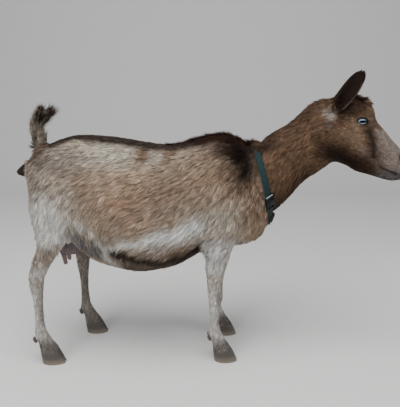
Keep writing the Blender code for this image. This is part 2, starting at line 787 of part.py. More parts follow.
def nostril(name, side, home):
    """A slanted comma-shaped opening cut into the side of the nose."""
    rows = []
    for depth, size in ((-0.009, 0.45), (-0.004, 0.80), (0.0, 1.0), (0.008, 1.25)):
        row = []
        for step in range(16):
            turn = 2 * math.pi * step / 16
            along = 0.0072 * math.cos(turn)
            rise = 0.0034 * math.sin(turn) - 0.25 * along
            out = np.array([0.45, 0.88 * side, 0.12])
            row.append(
                np.array([0.134, side * 0.0205, -0.0125])
                + out * depth
                + np.array([0.86, 0.0, 0.30]) * along * size
                + np.array([-0.25, 0.1 * side, 0.95]) * rise * size
            )
        rows.append(head_to_world(np.array(row)))
    points, faces = skin_of_rings(rows)
    return mesh_object(name, points, faced_out(points, faces), home)


def tube_along(name, path, radii, home, around=8):
    """A closed tube along a path of points."""
    path = np.array(path, float)
    rings = []
    for index, centre in enumerate(path):
        before = path[max(index - 1, 0)]
        after = path[min(index + 1, len(path) - 1)]
        run = after - before
        run /= np.linalg.norm(run)
        across = np.cross(run, (0.0, 0.0, 1.0))
        across /= np.linalg.norm(across)
        rise = np.cross(across, run)
        angle = np.arange(around) * 2 * math.pi / around
        rings.append(centre + radii[index] * (np.outer(np.cos(angle), across) + np.outer(np.sin(angle), rise)))
    points, faces = skin_of_rings(rings)
    return mesh_object(name, points, faced_out(points, faces), home)


def surface_tree(obj):
    points = points_of(obj)
    return BVHTree.FromPolygons(
        [tuple(point) for point in points], [tuple(face.vertices) for face in obj.data.polygons]
    )


def mouth_line(head_obj, home):
    """A fine groove from one corner of the mouth round the front to the other."""
    tree = surface_tree(head_obj)
    line = spline(MOUTH_EDGE, 3)
    path = []
    for side in (1, -1):
        half = []
        for along, up in line:
            start = head_to_world(np.array([along, side * 0.08, up]))
            hit = tree.ray_cast(Vector(start), Vector(-side * head_direction((0, 1, 0))))[0]
            if hit is not None:
                half.append(np.array(hit))
        path.append(half)
    front = []
    for turn in (50, 25, 0, -25, -50):
        angle = math.radians(turn)
        aim = np.array([math.cos(angle), math.sin(angle), 0.0])
        start = head_to_world(np.array([0.142, 0.0, -0.0385]) + aim * 0.06)
        hit = tree.ray_cast(Vector(start), Vector(-head_direction(tuple(aim))))[0]
        if hit is not None:
            front.append(np.array(hit))
    full = path[0] + front + path[1][::-1]
    radii = [0.0004] + [0.0012] * (len(full) - 2) + [0.0004]
    return tube_along("mouth_cutter", full, radii, home)


def udder(home):
    rows = [(front, z, back, z, 0.0, half, 0.5, 2.1) for z, front, back, half in UDDER]
    bag = lofted("udder", rows, 20, 2, home)
    for side in (-1, 1):
        teat = []
        for z, x, radius in TEAT:
            teat.append((x + radius, z, x - radius, z, side * 0.0185, radius, 0.5, 2.0))
        form = lofted(f"teat_{side}", teat, 10, 1, home)
        boolean(bag, form, "UNION")
        bpy.data.objects.remove(form)
    return bag


def tail(home):
    rows = [(fx, fz, bx, bz, 0.0, half, 0.5, 2.0) for fx, fz, bx, bz, half in TAIL]
    return lofted("tail", rows, 16, 2, home)


def lock(name, root, lie, out, size, curl, home):
    """A flat tapered lock. Its root lies sunk in, and it rises and bends over along its lie."""
    length, width, thick, sink, lift = size
    lie = np.array(lie, float) / np.linalg.norm(lie)
    out = np.array(out, float)
    out -= lie * np.dot(out, lie)
    out /= np.linalg.norm(out)
    across = np.cross(lie, out)
    root = np.array(root, float)
    rings = []
    for part, wide, deep in ((-0.28, 0.75, 1.0), (0.14, 1.0, 1.0), (0.50, 0.86, 0.80), (0.80, 0.50, 0.55)):
        run = (part + 0.28) / 1.28
        rise = -sink + (sink + lift) * (1 - (1 - run) ** 2)
        centre = root + lie * length * part + out * rise + across * curl * length * run**2
        side = across * width / 2 * wide
        top = out * thick / 2 * deep
        rings.append(np.array([centre + side, centre + top, centre - side, centre - top]))
    points, faces = skin_of_rings(rings)
    points[-1] = root + lie * length + out * lift * 0.9 + across * curl * length
    return mesh_object(name, points, faced_out(points, faces), home)


def grown_on(node, locks):
    """The locks fused into the node that they grow from, as one closed body."""
    join = node.modifiers.new("locks", "BOOLEAN")
    join.operation = "UNION"
    join.operand_type = "COLLECTION"
    join.collection = locks
    join.solver = "MANIFOLD"
    bake(node)
    for piece in list(locks.objects):
        bpy.data.objects.remove(piece)
    bpy.data.collections.remove(locks)
    return largest(node)


def crest(torso):
    """The longer dark hair over the withers, lying back along the spine."""
    locks = collection("crest_locks")
    tree = surface_tree(torso)
    chance = random.Random(7)
    for index in range(CREST_LOCKS):
        part = index / (CREST_LOCKS - 1)
        x = CREST_FROM + (CREST_TO - CREST_FROM) * part
        side = (-1, 1, 0)[index % 3]
        y = side * chance.uniform(0.007, 0.012)
        hit, facing = tree.ray_cast(Vector((x, y, 0.8)), Vector((0.0, 0.0, -1.0)))[:2]
        tall = math.sin(math.pi * min(0.25 + part, 1.0)) ** 0.6
        size = (chance.uniform(0.026, 0.034), 0.011, 0.0046, 0.0045, 0.0010 + 0.0036 * tall)
        lie = np.array([-1.0, 0.30 * side + chance.uniform(-0.10, 0.10), 0.0])
        lie -= np.array(facing) * np.dot(lie, facing)
        lock(f"crest_{index}", hit, lie, facing, size, chance.uniform(-0.10, 0.10), locks)
    return grown_on(torso, locks)


def forelock(head_node):
    """Tousled hair between the ears, falling forward over the brow."""
    locks = collection("forelock_locks")
    tree = surface_tree(head_node)
    chance = random.Random(11)
    down = Vector(-head_direction((0, 0, 1)))
    for row in range(FORELOCK_ROWS):
        for column in range(FORELOCK_COLUMNS):
            across = column - (FORELOCK_COLUMNS - 1) / 2
            along = -0.046 + 0.014 * row + chance.uniform(-0.003, 0.003)
            side = 0.0088 * across + chance.uniform(-0.002, 0.002)
            start = Vector(head_to_world((along, side, 0.2)))
            hit = tree.ray_cast(start, down)[0]
            rise = (0.62, 0.42, 0.02)[row] + chance.uniform(-0.14, 0.14)
            lie = head_direction((1.0, 0.20 * across + chance.uniform(-0.12, 0.12), rise))
            out = head_direction((-0.2, 0.1 * across, 1.0))
            size = (chance.uniform(0.024, 0.031), 0.0095, 0.0042, 0.0050, (0.002, 0.003, 0.0045)[row])
            lock(f"fore_{row}_{column}", hit, lie, out, size, chance.uniform(-0.12, 0.12), locks)
    return grown_on(head_node, locks)


def tail_hair(stalk):
    """Long stiff locks that flare up and forward from the tail."""
    locks = collection("tail_locks")
    chance = random.Random(5)
    rows = spline(TAIL, 4)
    for index in range(TAIL_LOCKS):
        part = 0.44 + 0.50 * index / (TAIL_LOCKS - 1)
        row = rows[int(part * (len(rows) - 1))]
        middle = np.array([(row[0] + row[2]) / 2, 0.0, (row[1] + row[3]) / 2])
        deep = math.hypot(row[0] - row[2], row[1] - row[3]) / 2
        turn = 2.399963 * index
        front = np.array([row[0] - row[2], 0.0, row[1] - row[3]]) / (2 * deep)
        out = front * math.cos(turn) + np.array([0.0, 1.0, 0.0]) * math.sin(turn)
        root = middle + front * math.cos(turn) * deep * 0.70
        root[1] += math.sin(turn) * row[4] * 0.70
        lean = (part - 0.44) / 0.50
        lie = np.array([-0.05 + 0.50 * lean, 0.0, 1.0 - 0.30 * lean]) + out * (0.34 + 0.10 * lean)
        lie += np.array([max(math.cos(turn), 0.0) * 0.25, chance.uniform(-0.10, 0.10), 0.0])
        size = (chance.uniform(0.034, 0.043) + 0.006 * lean, 0.0095, 0.0046, 0.0035, 0.0025)
        lock(f"tail_{index}", root, lie, out, size, chance.uniform(-0.14, 0.14), locks)
    return grown_on(stalk, locks)


def collar_rows(body):
    """Distances from the collar's middle to the coat at its two edges, evened out."""
    tree = surface_tree(body)
    up = np.array(COLLAR_UP) / np.linalg.norm(COLLAR_UP)
    left = np.array([0.0, 1.0, 0.0])
    normal = np.cross(left, up)
    count = 44
    rows = []
    for shift in (-0.5, 0.5):
        centre = np.array(COLLAR_MIDDLE) + normal * shift * COLLAR_WIDTH
        reach = []
        for step in range(count):
            turn = 2 * math.pi * step / count
            aim = left * math.cos(turn) + up * math.sin(turn)
            hit = tree.ray_cast(Vector(centre + aim * 0.25), Vector(-aim))[0]
            reach.append(np.linalg.norm(np.array(hit) - centre))
        reach = np.array(reach)
        for _ in range(6):
            reach = np.maximum(reach, (np.roll(reach, 1) + np.roll(reach, -1)) / 2)
        for _ in range(5):
            reach = 0.5 * reach + 0.25 * (np.roll(reach, 1) + np.roll(reach, -1))
        rows.append(reach)
    return up, left, normal, rows


def band(name, frame, inner, outer, half_width, home):
    """A closed strap round the neck between two distances from the coat."""
    up, left, normal, rows = frame
    count = len(rows[0])
    points = []
    for step in range(count):
        turn = 2 * math.pi * step / count
        aim = left * math.cos(turn) + up * math.sin(turn)
        slack = 0.006 * max(-math.sin(turn), 0.0) ** 6
        for shift, reach, distance in (
            (-1, rows[0][step], inner),
            (1, rows[1][step], inner),
            (1, rows[1][step], outer),
            (-1, rows[0][step], outer),
        ):
            points.append(
                np.array(COLLAR_MIDDLE) + normal * shift * half_width + aim * (reach + slack + distance)
            )
    faces = []
    for step in range(count):
        low = 4 * step
        high = 4 * ((step + 1) % count)
        for edge in range(4):
            after = (edge + 1) % 4
            faces.append((low + edge, low + after, high + after, high + edge))
    points = np.array(points)
    return mesh_object(name, points, faced_out(points, faces), home)


def buckle_place(frame):
    """Middle of the buckle on the strap, and its axes: along the strap, across it, and outwards."""
    up, left, normal, rows = frame
    count = len(rows[0])
    spots = []
    for part_turn in (0.675, 0.641, 0.606):
        step = part_turn * count
        turn = 2 * math.pi * part_turn
        aim = left * math.cos(turn) + up * math.sin(turn)
        index = int(step)
        part = step - index
        reach = sum(row[index] * (1 - part) + row[index + 1] * part for row in rows) / 2
        spots.append(np.array(COLLAR_MIDDLE) + aim * reach)
    along = spots[2] - spots[0]
    along /= np.linalg.norm(along)
    across = normal - along * np.dot(normal, along)
    across /= np.linalg.norm(across)
    out = np.cross(along, across)
    if np.dot(out, spots[1] - np.array(COLLAR_MIDDLE)) < 0:
        out = -out
    return spots[1], along, across, out


def buckle_body(name, place, grow, home):
    """A rounded box with a bowed outer face."""
    middle, along, across, out = place
    half = (BUCKLE_LENGTH / 2 + grow, BUCKLE_WIDTH / 2 + grow)
    rings = []
    for height, part in (
        (-0.0055 - grow, 0.86),
        (-0.0040 - grow, 0.97),
        (-0.0010, 1.0),
        (0.0018 + grow, 0.97),
        (BUCKLE_HEIGHT - 0.0055 + grow, 0.84),
    ):
        row = []
        for step in range(24):
            turn = 2 * math.pi * (step + 0.5) / 24
            x = math.copysign(abs(math.cos(turn)) ** 0.42, math.cos(turn)) * half[0]
            y = math.copysign(abs(math.sin(turn)) ** 0.42, math.sin(turn)) * half[1]
            bow = -0.10 * (x / half[0]) ** 2 * 0.02
            row.append(middle + along * x * (0.5 + part / 2) + across * y * part + out * (height + bow))
        rings.append(np.array(row))
    points, faces = skin_of_rings(rings)
    return mesh_object(name, points, faced_out(points, faces), home)


def material(name, color, roughness):
    paint = bpy.data.materials.new(name)
    paint.use_nodes = True
    shader = paint.node_tree.nodes["Principled BSDF"]
    shader.inputs["Base Color"].default_value = (*color, 1.0)
    shader.inputs["Roughness"].default_value = roughness
    shader.inputs["Metallic"].default_value = 0.0
    paint.diffuse_color = (*color, 1.0)
    return paint


def paint(obj, slot):
    obj.data.materials.clear()
    obj.data.materials.append(slot)
    for face in obj.data.polygons:
        face.use_smooth = False


# Where each leg leaves the trunk: outline in x and z of the plate that holds it
HIND_RIGHT_CUT = (
    (-0.47, -0.03),
    (-0.47, 0.325),
    (-0.314, 0.288),
    (-0.330, 0.235),
    (-0.280, 0.190),
    (-0.260, -0.03),
)
HIND_LEFT_CUT = (
    (-0.47, -0.03),
    (-0.47, 0.325),
    (-0.395, 0.305),
    (-0.284, 0.246),
    (-0.240, 0.190),
    (-0.220, -0.03),
)
FORE_CUT = ((-0.02, -0.03), (-0.02, 0.190), (-0.004, 0.258), (0.125, 0.258), (0.160, -0.03))


def cut_legs(body, home, cutters):
    """Each leg from the forearm or gaskin down, its two claws split off below the coronet."""
    made = {}
    plans = (
        ("leg_hind_right", -1, HIND_RIGHT_CUT, 0.034, -0.3615, 0.0),
        ("leg_hind_left", 1, HIND_LEFT_CUT, 0.034, -0.3615, LEFT_HIND_FORWARD),
        ("leg_fore_right", -1, FORE_CUT, 0.034, 0.0625, 0.0),
        ("leg_fore_left", 1, FORE_CUT, 0.034, 0.0625, LEFT_FORE_FORWARD),
    )
    for name, side, outline, inner, toe, shift in plans:
        low_y, high_y = (inner, 0.16) if side > 0 else (-0.16, -inner)
        piece = split_off(body, name, outline, low_y, high_y, home, cutters)
        middle_y = side * (0.083 if "hind" in name else 0.072)
        x = toe + shift
        cleft = slab(
            f"{name}_cleft",
            ((x - 0.012, -0.02), (x + 0.004, 0.050), (x + 0.012, 0.060), (x + 0.08, 0.060), (x + 0.08, -0.02)),
            middle_y - 0.0011,
            middle_y + 0.0011,
            cutters,
        )
        boolean(piece, cleft, "DIFFERENCE")
        heel = slab(
            f"{name}_heel_cleft",
            ((x - 0.06, -0.02), (x - 0.06, 0.014), (x + 0.02, 0.020), (x + 0.02, -0.02)),
            middle_y - 0.0011,
            middle_y + 0.0011,
            cutters,
        )
        boolean(piece, heel, "DIFFERENCE")
        for half, tag in ((-1, "outer" if side < 0 else "inner"), (1, "inner" if side < 0 else "outer")):
            low, high = (middle_y - 0.05, middle_y) if half < 0 else (middle_y, middle_y + 0.05)
            claw_name = name.replace("leg_", "claw_") + "_" + tag
            outline_claw = ((x - 0.07, -0.03), (x - 0.07, 0.016), (x + 0.07, 0.048), (x + 0.07, -0.03))
            claw = split_claw(piece, claw_name, outline_claw, low, high, home, cutters)
            made[claw_name] = claw
        made[name] = largest(piece)
    return made


def split_claw(piece, name, outline, low_y, high_y, home, cutters):
    """One claw, cut level at the floor."""
    claw = split_off(piece, name, outline, low_y, high_y, home, cutters)
    floor = slab(f"{name}_floor", ((-1.0, -0.1), (-1.0, 0.0), (1.0, 0.0), (1.0, -0.1)), -0.5, 0.5, cutters)
    boolean(claw, floor, "DIFFERENCE")
    return largest(claw)


def main():
    clear_scene()
    home = collection("nigerian_dwarf_goat")
    cutters = collection("cutters")
    cutters.hide_render = True

    body = sculpt(fused_body(home))
    local = world_to_head(points_of(body))
    set_points(body, head_to_world(local + lid_mound(local)))
    fine = decimated(body, "fine_body", HEAD_BODY_TRIANGLES, home)
    plain = decimated(body, "torso", BODY_TRIANGLES, home)
    bpy.data.objects.remove(body)

    frame = collar_rows(plain)
    groove = band("collar_groove", frame, -COLLAR_PRESS - 2 * GAP, 0.030, COLLAR_WIDTH / 2 + 2 * GAP, cutters)
    strap = band("collar", frame, -COLLAR_PRESS, -COLLAR_PRESS + COLLAR_THICK, COLLAR_WIDTH / 2, home)
    place = buckle_place(frame)
    buckle = buckle_body("collar_buckle", place, 0.0, home)
    buckle_room = buckle_body("buckle_room", place, GAP, cutters)
    boolean(plain, groove, "DIFFERENCE")
    largest(plain)
    boolean(strap, buckle_room, "DIFFERENCE")
    largest(strap)
    boolean(plain, buckle_room, "DIFFERENCE")
    largest(plain)

    nodes = {}
    head_outline = ((0.268, 0.70), (0.352, 0.455), (0.352, 0.30), (0.70, 0.30), (0.70, 0.80), (0.268, 0.80))
    head_node = split_off(fine, "head", head_outline, -0.40, 0.40, home, cutters)
    bpy.data.objects.remove(fine)
    head_rest = split_off(plain, "head_rest", head_outline, -0.40, 0.40, cutters, cutters)
    bpy.data.objects.remove(head_rest)
    neck_outline = ((0.138, 0.70), (0.205, 0.33), (0.215, 0.28), (0.60, 0.28), (0.60, 0.80), (0.138, 0.80))
    nodes["neck"] = split_off(plain, "neck", neck_outline, -0.40, 0.40, home, cutters)
    nodes.update(cut_legs(plain, home, cutters))
    nodes["torso"] = largest(plain)
    seat = copy_of(plain, "torso_seat", cutters)
    crest(plain)

    for side, tag in ((-1, "right"), (1, "left")):
        socket = eye_ball(f"socket_{tag}", side, EYE_RADIUS + EYE_GAP, cutters)
        boolean(head_node, socket, "DIFFERENCE", "MANIFOLD")
        boolean(head_node, lid_opening(f"lids_{tag}", side, cutters), "DIFFERENCE", "MANIFOLD")
        boolean(head_node, nostril(f"nostril_{tag}", side, cutters), "DIFFERENCE", "MANIFOLD")
        nodes[f"eye_{tag}"] = eye_ball(f"eye_{tag}", side, EYE_RADIUS, home)
    boolean(head_node, mouth_line(head_node, cutters), "DIFFERENCE", "MANIFOLD")
    nodes["head"] = largest(head_node)
    for side, tag in ((-1, "right"), (1, "left")):
        nodes[f"ear_{tag}"] = trim(ear(f"ear_{tag}", side, home), head_node, GAP, cutters)
    forelock(head_node)
    bag = trim(udder(home), seat, GAP, cutters)
    for name in ("leg_hind_right", "leg_hind_left"):
        trim(bag, nodes[name], GAP, cutters)
    nodes["udder"] = bag
    nodes["tail"] = tail_hair(trim(tail(home), seat, GAP, cutters))
    nodes["collar"] = strap
    nodes["collar_buckle"] = buckle

    coat = material("brown coat", (0.24, 0.17, 0.12), 0.9)
    face = material("dark face coat", (0.09, 0.06, 0.045), 0.9)
    skin = material("udder skin", (0.30, 0.20, 0.19), 0.6)
    horn = material("dark horn", (0.045, 0.038, 0.034), 0.5)
    eye = material("pale blue eye", (0.42, 0.55, 0.62), 0.15)
    webbing = material("teal webbing", (0.015, 0.055, 0.050), 0.7)
    plastic = material("black plastic", (0.012, 0.014, 0.015), 0.4)
    for name, obj in nodes.items():
        if name.startswith("claw"):
            paint(obj, horn)
        elif name.startswith("eye"):
            paint(obj, eye)
        elif name in ("head", "ear_left", "ear_right", "tail"):
            paint(obj, face)
        elif name == "udder":
            paint(obj, skin)
        elif name == "collar":
            paint(obj, webbing)
        elif name == "collar_buckle":
            paint(obj, plastic)
        else:
            paint(obj, coat)
        obj.name = name
    everything = np.vstack([points_of(obj) for obj in nodes.values()])
    middle = (everything.min(axis=0) + everything.max(axis=0)) / 2
    for obj in nodes.values():
        set_points(obj, points_of(obj) - (middle[0], middle[1], 0.0))
    for obj in list(cutters.objects):
        obj.hide_render = True
        obj.display_type = "WIRE"


main()
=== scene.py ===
"""Finished look of a life-size standing dwarf goat doe with a short brown coat and a webbing collar."""

import math

import bmesh
import bpy
import numpy as np
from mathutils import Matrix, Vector
from mathutils.bvhtree import BVHTree
from mathutils.kdtree import KDTree


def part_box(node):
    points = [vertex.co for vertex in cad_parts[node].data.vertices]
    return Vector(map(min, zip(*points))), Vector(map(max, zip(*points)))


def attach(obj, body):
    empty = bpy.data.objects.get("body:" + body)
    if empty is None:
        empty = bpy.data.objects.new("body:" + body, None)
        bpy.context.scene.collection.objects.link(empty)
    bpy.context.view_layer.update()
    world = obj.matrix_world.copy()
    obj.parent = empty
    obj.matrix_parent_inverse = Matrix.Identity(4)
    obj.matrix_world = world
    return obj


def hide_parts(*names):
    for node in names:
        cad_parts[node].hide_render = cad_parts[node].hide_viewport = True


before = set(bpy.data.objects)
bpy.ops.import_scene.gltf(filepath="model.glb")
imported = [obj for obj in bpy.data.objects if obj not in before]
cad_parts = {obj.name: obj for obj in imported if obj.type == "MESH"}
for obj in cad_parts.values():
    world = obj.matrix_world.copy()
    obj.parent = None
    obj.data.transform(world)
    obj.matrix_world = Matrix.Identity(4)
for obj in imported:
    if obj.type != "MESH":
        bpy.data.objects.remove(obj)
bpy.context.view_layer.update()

bl_info = {
    "name": "Dwarf goat doe",
    "version": (1, 0, 0),
    "blender": (4, 5, 0),
    "location": "3D View > Sidebar > Goat",
    "description": "Builds the skin, coat, eyes, hooves and collar of a standing dwarf goat",
    "category": "Add Mesh",
}

FLESH = [
    "torso", "neck", "head", "ear_left", "ear_right", "tail",
    "leg_fore_left", "leg_fore_right", "leg_hind_left", "leg_hind_right",
]

# Head frame: its origin lies between the eyes, its axis drops towards the muzzle
HEAD_ORIGIN = (0.381, 0.586)
HEAD_DROP = math.radians(38.0)
HEAD_TURN = math.radians(14.0)
HEAD_TURN_AT = 0.33
NECK_BEND_FROM = 0.24
NECK_BEND_TO = 0.42
# Eyes, lids, ears and nostrils, in the head's frame
EYE_RADIUS = 0.0130
CORNEA_RISE = 0.0006
EYE_SIDE = 0.0410
SOCKET_RADIUS = 0.0108
LID_RADIUS = 0.0158
LID_RIM_RADIUS = 0.0141
LID_TILT = math.radians(29.0)
LID_HALF_LENGTH = 0.0108
LID_RISE_UPPER = 0.0074
LID_RISE_LOWER = 0.0061
EAR_LENGTH = 0.116
EAR_ROOT = (-0.064, 0.040, -0.010)
EAR_SUNK = 0.16
EAR_BACK = 0.012
# Ear sections: part from root to tip, radius of the cup, half its turn in degrees, lean
EAR = (
    (0.00, 0.0120, 145.0, 0.000), (0.15, 0.0138, 132.0, 0.000), (0.32, 0.0160, 108.0, -0.001),
    (0.50, 0.0178, 86.0, -0.003), (0.68, 0.0190, 68.0, -0.004), (0.82, 0.0198, 50.0, -0.004),
    (0.92, 0.0204, 32.0, -0.002), (0.98, 0.0208, 14.0, 0.000), (1.00, 0.0208, 4.0, 0.001),
)
NOSTRIL = (0.1335, 0.0202, -0.0140)
NOSTRIL_HALF_LENGTH = 0.0122
NOSTRIL_HALF_WIDTH = 0.0038
NOSTRIL_BEND = 14.0
# The head's finer faces begin here
HEAD_FROM = 0.27
# Collar: its middle, and the way up across its plane
COLLAR_MIDDLE = np.array([0.153, 0.0, 0.437])
COLLAR_UP = np.array([-0.237, 0.0, 0.9715])
# Feet: how far the left ones stand forward, where the toes are, and the sloping line where horn begins
LEFT_HIND_FORWARD = 0.072
LEFT_FORE_FORWARD = 0.008
HIND_TOE = -0.3615
FORE_TOE = 0.0625
HIND_SPREAD = 0.083
FORE_SPREAD = 0.072
BETWEEN_LEGS = -0.15
CORONET_REACH = 0.07
CORONET_HEEL = 0.016
CORONET_TOE = 0.048
LEFTWARDS = np.array([0.0, 1.0, 0.0])
SIDES = (1, -1)
# Legs: name, side, how far forward
LEGS = (("hind_right", -1, 0.0), ("hind_left", 1, LEFT_HIND_FORWARD),
        ("fore_right", -1, 0.0), ("fore_left", 1, LEFT_FORE_FORWARD))

# Trunk: x, top, bottom, half width, height of the widest line, squareness
TRUNK = (
    (-0.412, 0.478, 0.395, 0.03, 0.55, 2.0), (-0.404, 0.5, 0.355, 0.058, 0.58, 2.1),
    (-0.385, 0.521, 0.33, 0.078, 0.6, 2.2), (-0.355, 0.534, 0.315, 0.088, 0.6, 2.2),
    (-0.32, 0.546, 0.288, 0.098, 0.56, 2.2), (-0.285, 0.552, 0.258, 0.108, 0.5, 2.2),
    (-0.245, 0.551, 0.236, 0.121, 0.45, 2.1), (-0.195, 0.546, 0.221, 0.134, 0.42, 2.05),
    (-0.145, 0.538, 0.2135, 0.14, 0.41, 2.05), (-0.095, 0.531, 0.221, 0.138, 0.42, 2.05),
    (-0.05, 0.532, 0.234, 0.129, 0.44, 2.05), (-0.005, 0.545, 0.258, 0.115, 0.46, 2.1),
    (0.04, 0.556, 0.27, 0.104, 0.46, 2.1), (0.08, 0.552, 0.277, 0.098, 0.45, 2.1),
    (0.115, 0.532, 0.284, 0.09, 0.44, 2.1), (0.145, 0.5, 0.296, 0.076, 0.45, 2.0),
    (0.165, 0.455, 0.317, 0.056, 0.45, 2.0), (0.176, 0.41, 0.345, 0.028, 0.5, 2.0),
)
# Neck: top x, top z, throat x, throat z, half width, height of the widest line, squareness
NECK = (
    (0.03, 0.52, 0.11, 0.33, 0.066, 0.5, 2.0), (0.075, 0.534, 0.158, 0.345, 0.072, 0.48, 2.0),
    (0.112, 0.536, 0.194, 0.373, 0.07, 0.48, 2.0), (0.141, 0.532, 0.225, 0.405, 0.064, 0.5, 2.0),
    (0.17, 0.555, 0.256, 0.438, 0.058, 0.5, 2.0), (0.218, 0.584, 0.291, 0.463, 0.052, 0.52, 2.0),
    (0.262, 0.618, 0.325, 0.487, 0.049, 0.54, 2.0), (0.302, 0.64, 0.35, 0.5, 0.046, 0.56, 2.0),
    (0.335, 0.64, 0.372, 0.52, 0.042, 0.56, 2.0),
)
# Head: along the axis, top, bottom, half width, height of the widest line, squareness
HEAD = (
    (-0.082, 0.01, -0.085, 0.034, 0.62, 2.0), (-0.06, 0.029, -0.104, 0.043, 0.64, 2.0),
    (-0.034, 0.041, -0.112, 0.0475, 0.66, 2.1), (-0.01, 0.045, -0.1145, 0.0485, 0.68, 2.2),
    (0.01, 0.038, -0.1135, 0.0475, 0.69, 2.2), (0.028, 0.0275, -0.1085, 0.043, 0.69, 2.1),
    (0.05, 0.02, -0.102, 0.0365, 0.66, 2.1), (0.075, 0.014, -0.096, 0.031, 0.62, 2.1),
    (0.098, 0.01, -0.086, 0.028, 0.6, 2.2), (0.118, 0.0068, -0.0775, 0.0268, 0.56, 2.3),
    (0.136, 0.0015, -0.07, 0.0262, 0.54, 2.3), (0.151, -0.0065, -0.061, 0.0235, 0.54, 2.3),
    (0.162, -0.017, -0.05, 0.0185, 0.54, 2.2), (0.168, -0.026, -0.042, 0.011, 0.54, 2.1),
)
# Legs, each slice: height, front, back, middle y, half width, squareness
HIND = (
    (0.528, -0.325, -0.362, 0.032, 0.018, 2.0), (0.5, -0.3, -0.38, 0.041, 0.034, 2.0),
    (0.455, -0.276, -0.396, 0.051, 0.047, 2.1), (0.405, -0.264, -0.4, 0.06, 0.048, 2.2),
    (0.365, -0.269, -0.397, 0.065, 0.044, 2.2), (0.332, -0.29, -0.392, 0.069, 0.037, 2.1),
    (0.3, -0.318, -0.388, 0.073, 0.03, 2.0), (0.27, -0.342, -0.395, 0.077, 0.0235, 2.0),
    (0.245, -0.358, -0.402, 0.08, 0.019, 2.0), (0.218, -0.37, -0.409, 0.082, 0.0165, 2.0),
    (0.192, -0.375, -0.407, 0.083, 0.015, 2.0), (0.165, -0.378, -0.402, 0.083, 0.0132, 2.0),
    (0.125, -0.379, -0.4, 0.083, 0.0118, 2.0), (0.092, -0.377, -0.401, 0.083, 0.013, 2.0),
    (0.073, -0.371, -0.403, 0.083, 0.0158, 2.1), (0.056, -0.361, -0.397, 0.083, 0.0155, 2.1),
    (0.04, -0.35, -0.393, 0.083, 0.017, 2.2), (0.018, -0.339, -0.39, 0.083, 0.0188, 2.3),
    (0.0, -0.331, -0.388, 0.083, 0.0198, 2.3), (-0.006, -0.33, -0.388, 0.083, 0.0198, 2.3),
)
FORE = (
    (0.49, 0.075, 0.025, 0.046, 0.034, 2.0), (0.44, 0.1, 0.0, 0.053, 0.04, 2.0),
    (0.395, 0.112, -0.012, 0.06, 0.04, 2.1), (0.35, 0.108, -0.012, 0.064, 0.037, 2.2),
    (0.318, 0.096, 0.0, 0.067, 0.033, 2.1), (0.293, 0.083, 0.007, 0.069, 0.0285, 2.0),
    (0.267, 0.072, 0.012, 0.07, 0.024, 2.0), (0.24, 0.063, 0.013, 0.071, 0.0205, 2.0),
    (0.21, 0.057, 0.016, 0.072, 0.0175, 2.0), (0.184, 0.055, 0.018, 0.072, 0.0178, 2.1),
    (0.163, 0.055, 0.02, 0.072, 0.0175, 2.1), (0.138, 0.048, 0.022, 0.072, 0.0138, 2.0),
    (0.108, 0.046, 0.024, 0.072, 0.0125, 2.0), (0.085, 0.049, 0.022, 0.072, 0.0145, 2.0),
    (0.069, 0.055, 0.02, 0.072, 0.0168, 2.1), (0.053, 0.063, 0.027, 0.072, 0.0165, 2.1),
    (0.038, 0.073, 0.031, 0.072, 0.018, 2.2), (0.018, 0.084, 0.033, 0.072, 0.0198, 2.3),
    (0.0, 0.092, 0.035, 0.072, 0.0208, 2.3), (-0.006, 0.093, 0.035, 0.072, 0.0208, 2.3),
)
# Tail, each slice: front x, front z, back x, back z, half width
TAIL = (
    (-0.352, 0.505, -0.385, 0.48, 0.012), (-0.366, 0.53, -0.399, 0.507, 0.014),
    (-0.377, 0.547, -0.405, 0.533, 0.013), (-0.38, 0.559, -0.408, 0.558, 0.012),
    (-0.378, 0.572, -0.406, 0.578, 0.011), (-0.372, 0.584, -0.398, 0.594, 0.009),
    (-0.364, 0.597, -0.382, 0.607, 0.0055),
)
VULVA = (
    (-0.385, 0.5, -0.385, 0.46, 0.0, 0.016, 0.5, 2.0),
    (-0.405, 0.497, -0.408, 0.452, 0.0, 0.016, 0.5, 2.0),
    (-0.424, 0.486, -0.428, 0.449, 0.0, 0.014, 0.5, 2.0),
    (-0.441, 0.474, -0.44, 0.451, 0.0, 0.01, 0.5, 2.0),
    (-0.45, 0.465, -0.449, 0.455, 0.0, 0.0055, 0.5, 2.0),
)
# Udder, each slice: height, front, back, half width. Teat: height, middle x, radius
UDDER = (
    (0.33, -0.285, -0.368, 0.03), (0.302, -0.284, -0.37, 0.037), (0.282, -0.29, -0.364, 0.037),
    (0.266, -0.298, -0.355, 0.031), (0.255, -0.31, -0.345, 0.019),
)
TEAT = (
    (0.276, -0.342, 0.0085), (0.262, -0.341, 0.0068), (0.246, -0.339, 0.0058), (0.233, -0.337, 0.005),
    (0.2295, -0.3365, 0.0026),
)
# Joins that are evened out: centre (y to either side), reach
JOINS = (
    ((0.05, 0.1, 0.42), (0.085, 0.045, 0.085)), ((0.03, 0.07, 0.3), (0.055, 0.045, 0.03)),
    ((-0.335, 0.085, 0.5), (0.08, 0.04, 0.05)), ((-0.262, 0.105, 0.4), (0.04, 0.045, 0.1)),
    ((-0.285, 0.07, 0.285), (0.045, 0.045, 0.035)), ((-0.395, 0.03, 0.42), (0.02, 0.03, 0.08)),
    ((0.13, 0.065, 0.45), (0.05, 0.045, 0.1)), ((0.11, 0.0, 0.53), (0.04, 0.05, 0.03)),
    ((0.345, 0.0, 0.49), (0.03, 0.05, 0.025)), ((0.31, 0.0, 0.6), (0.04, 0.07, 0.06)),
)
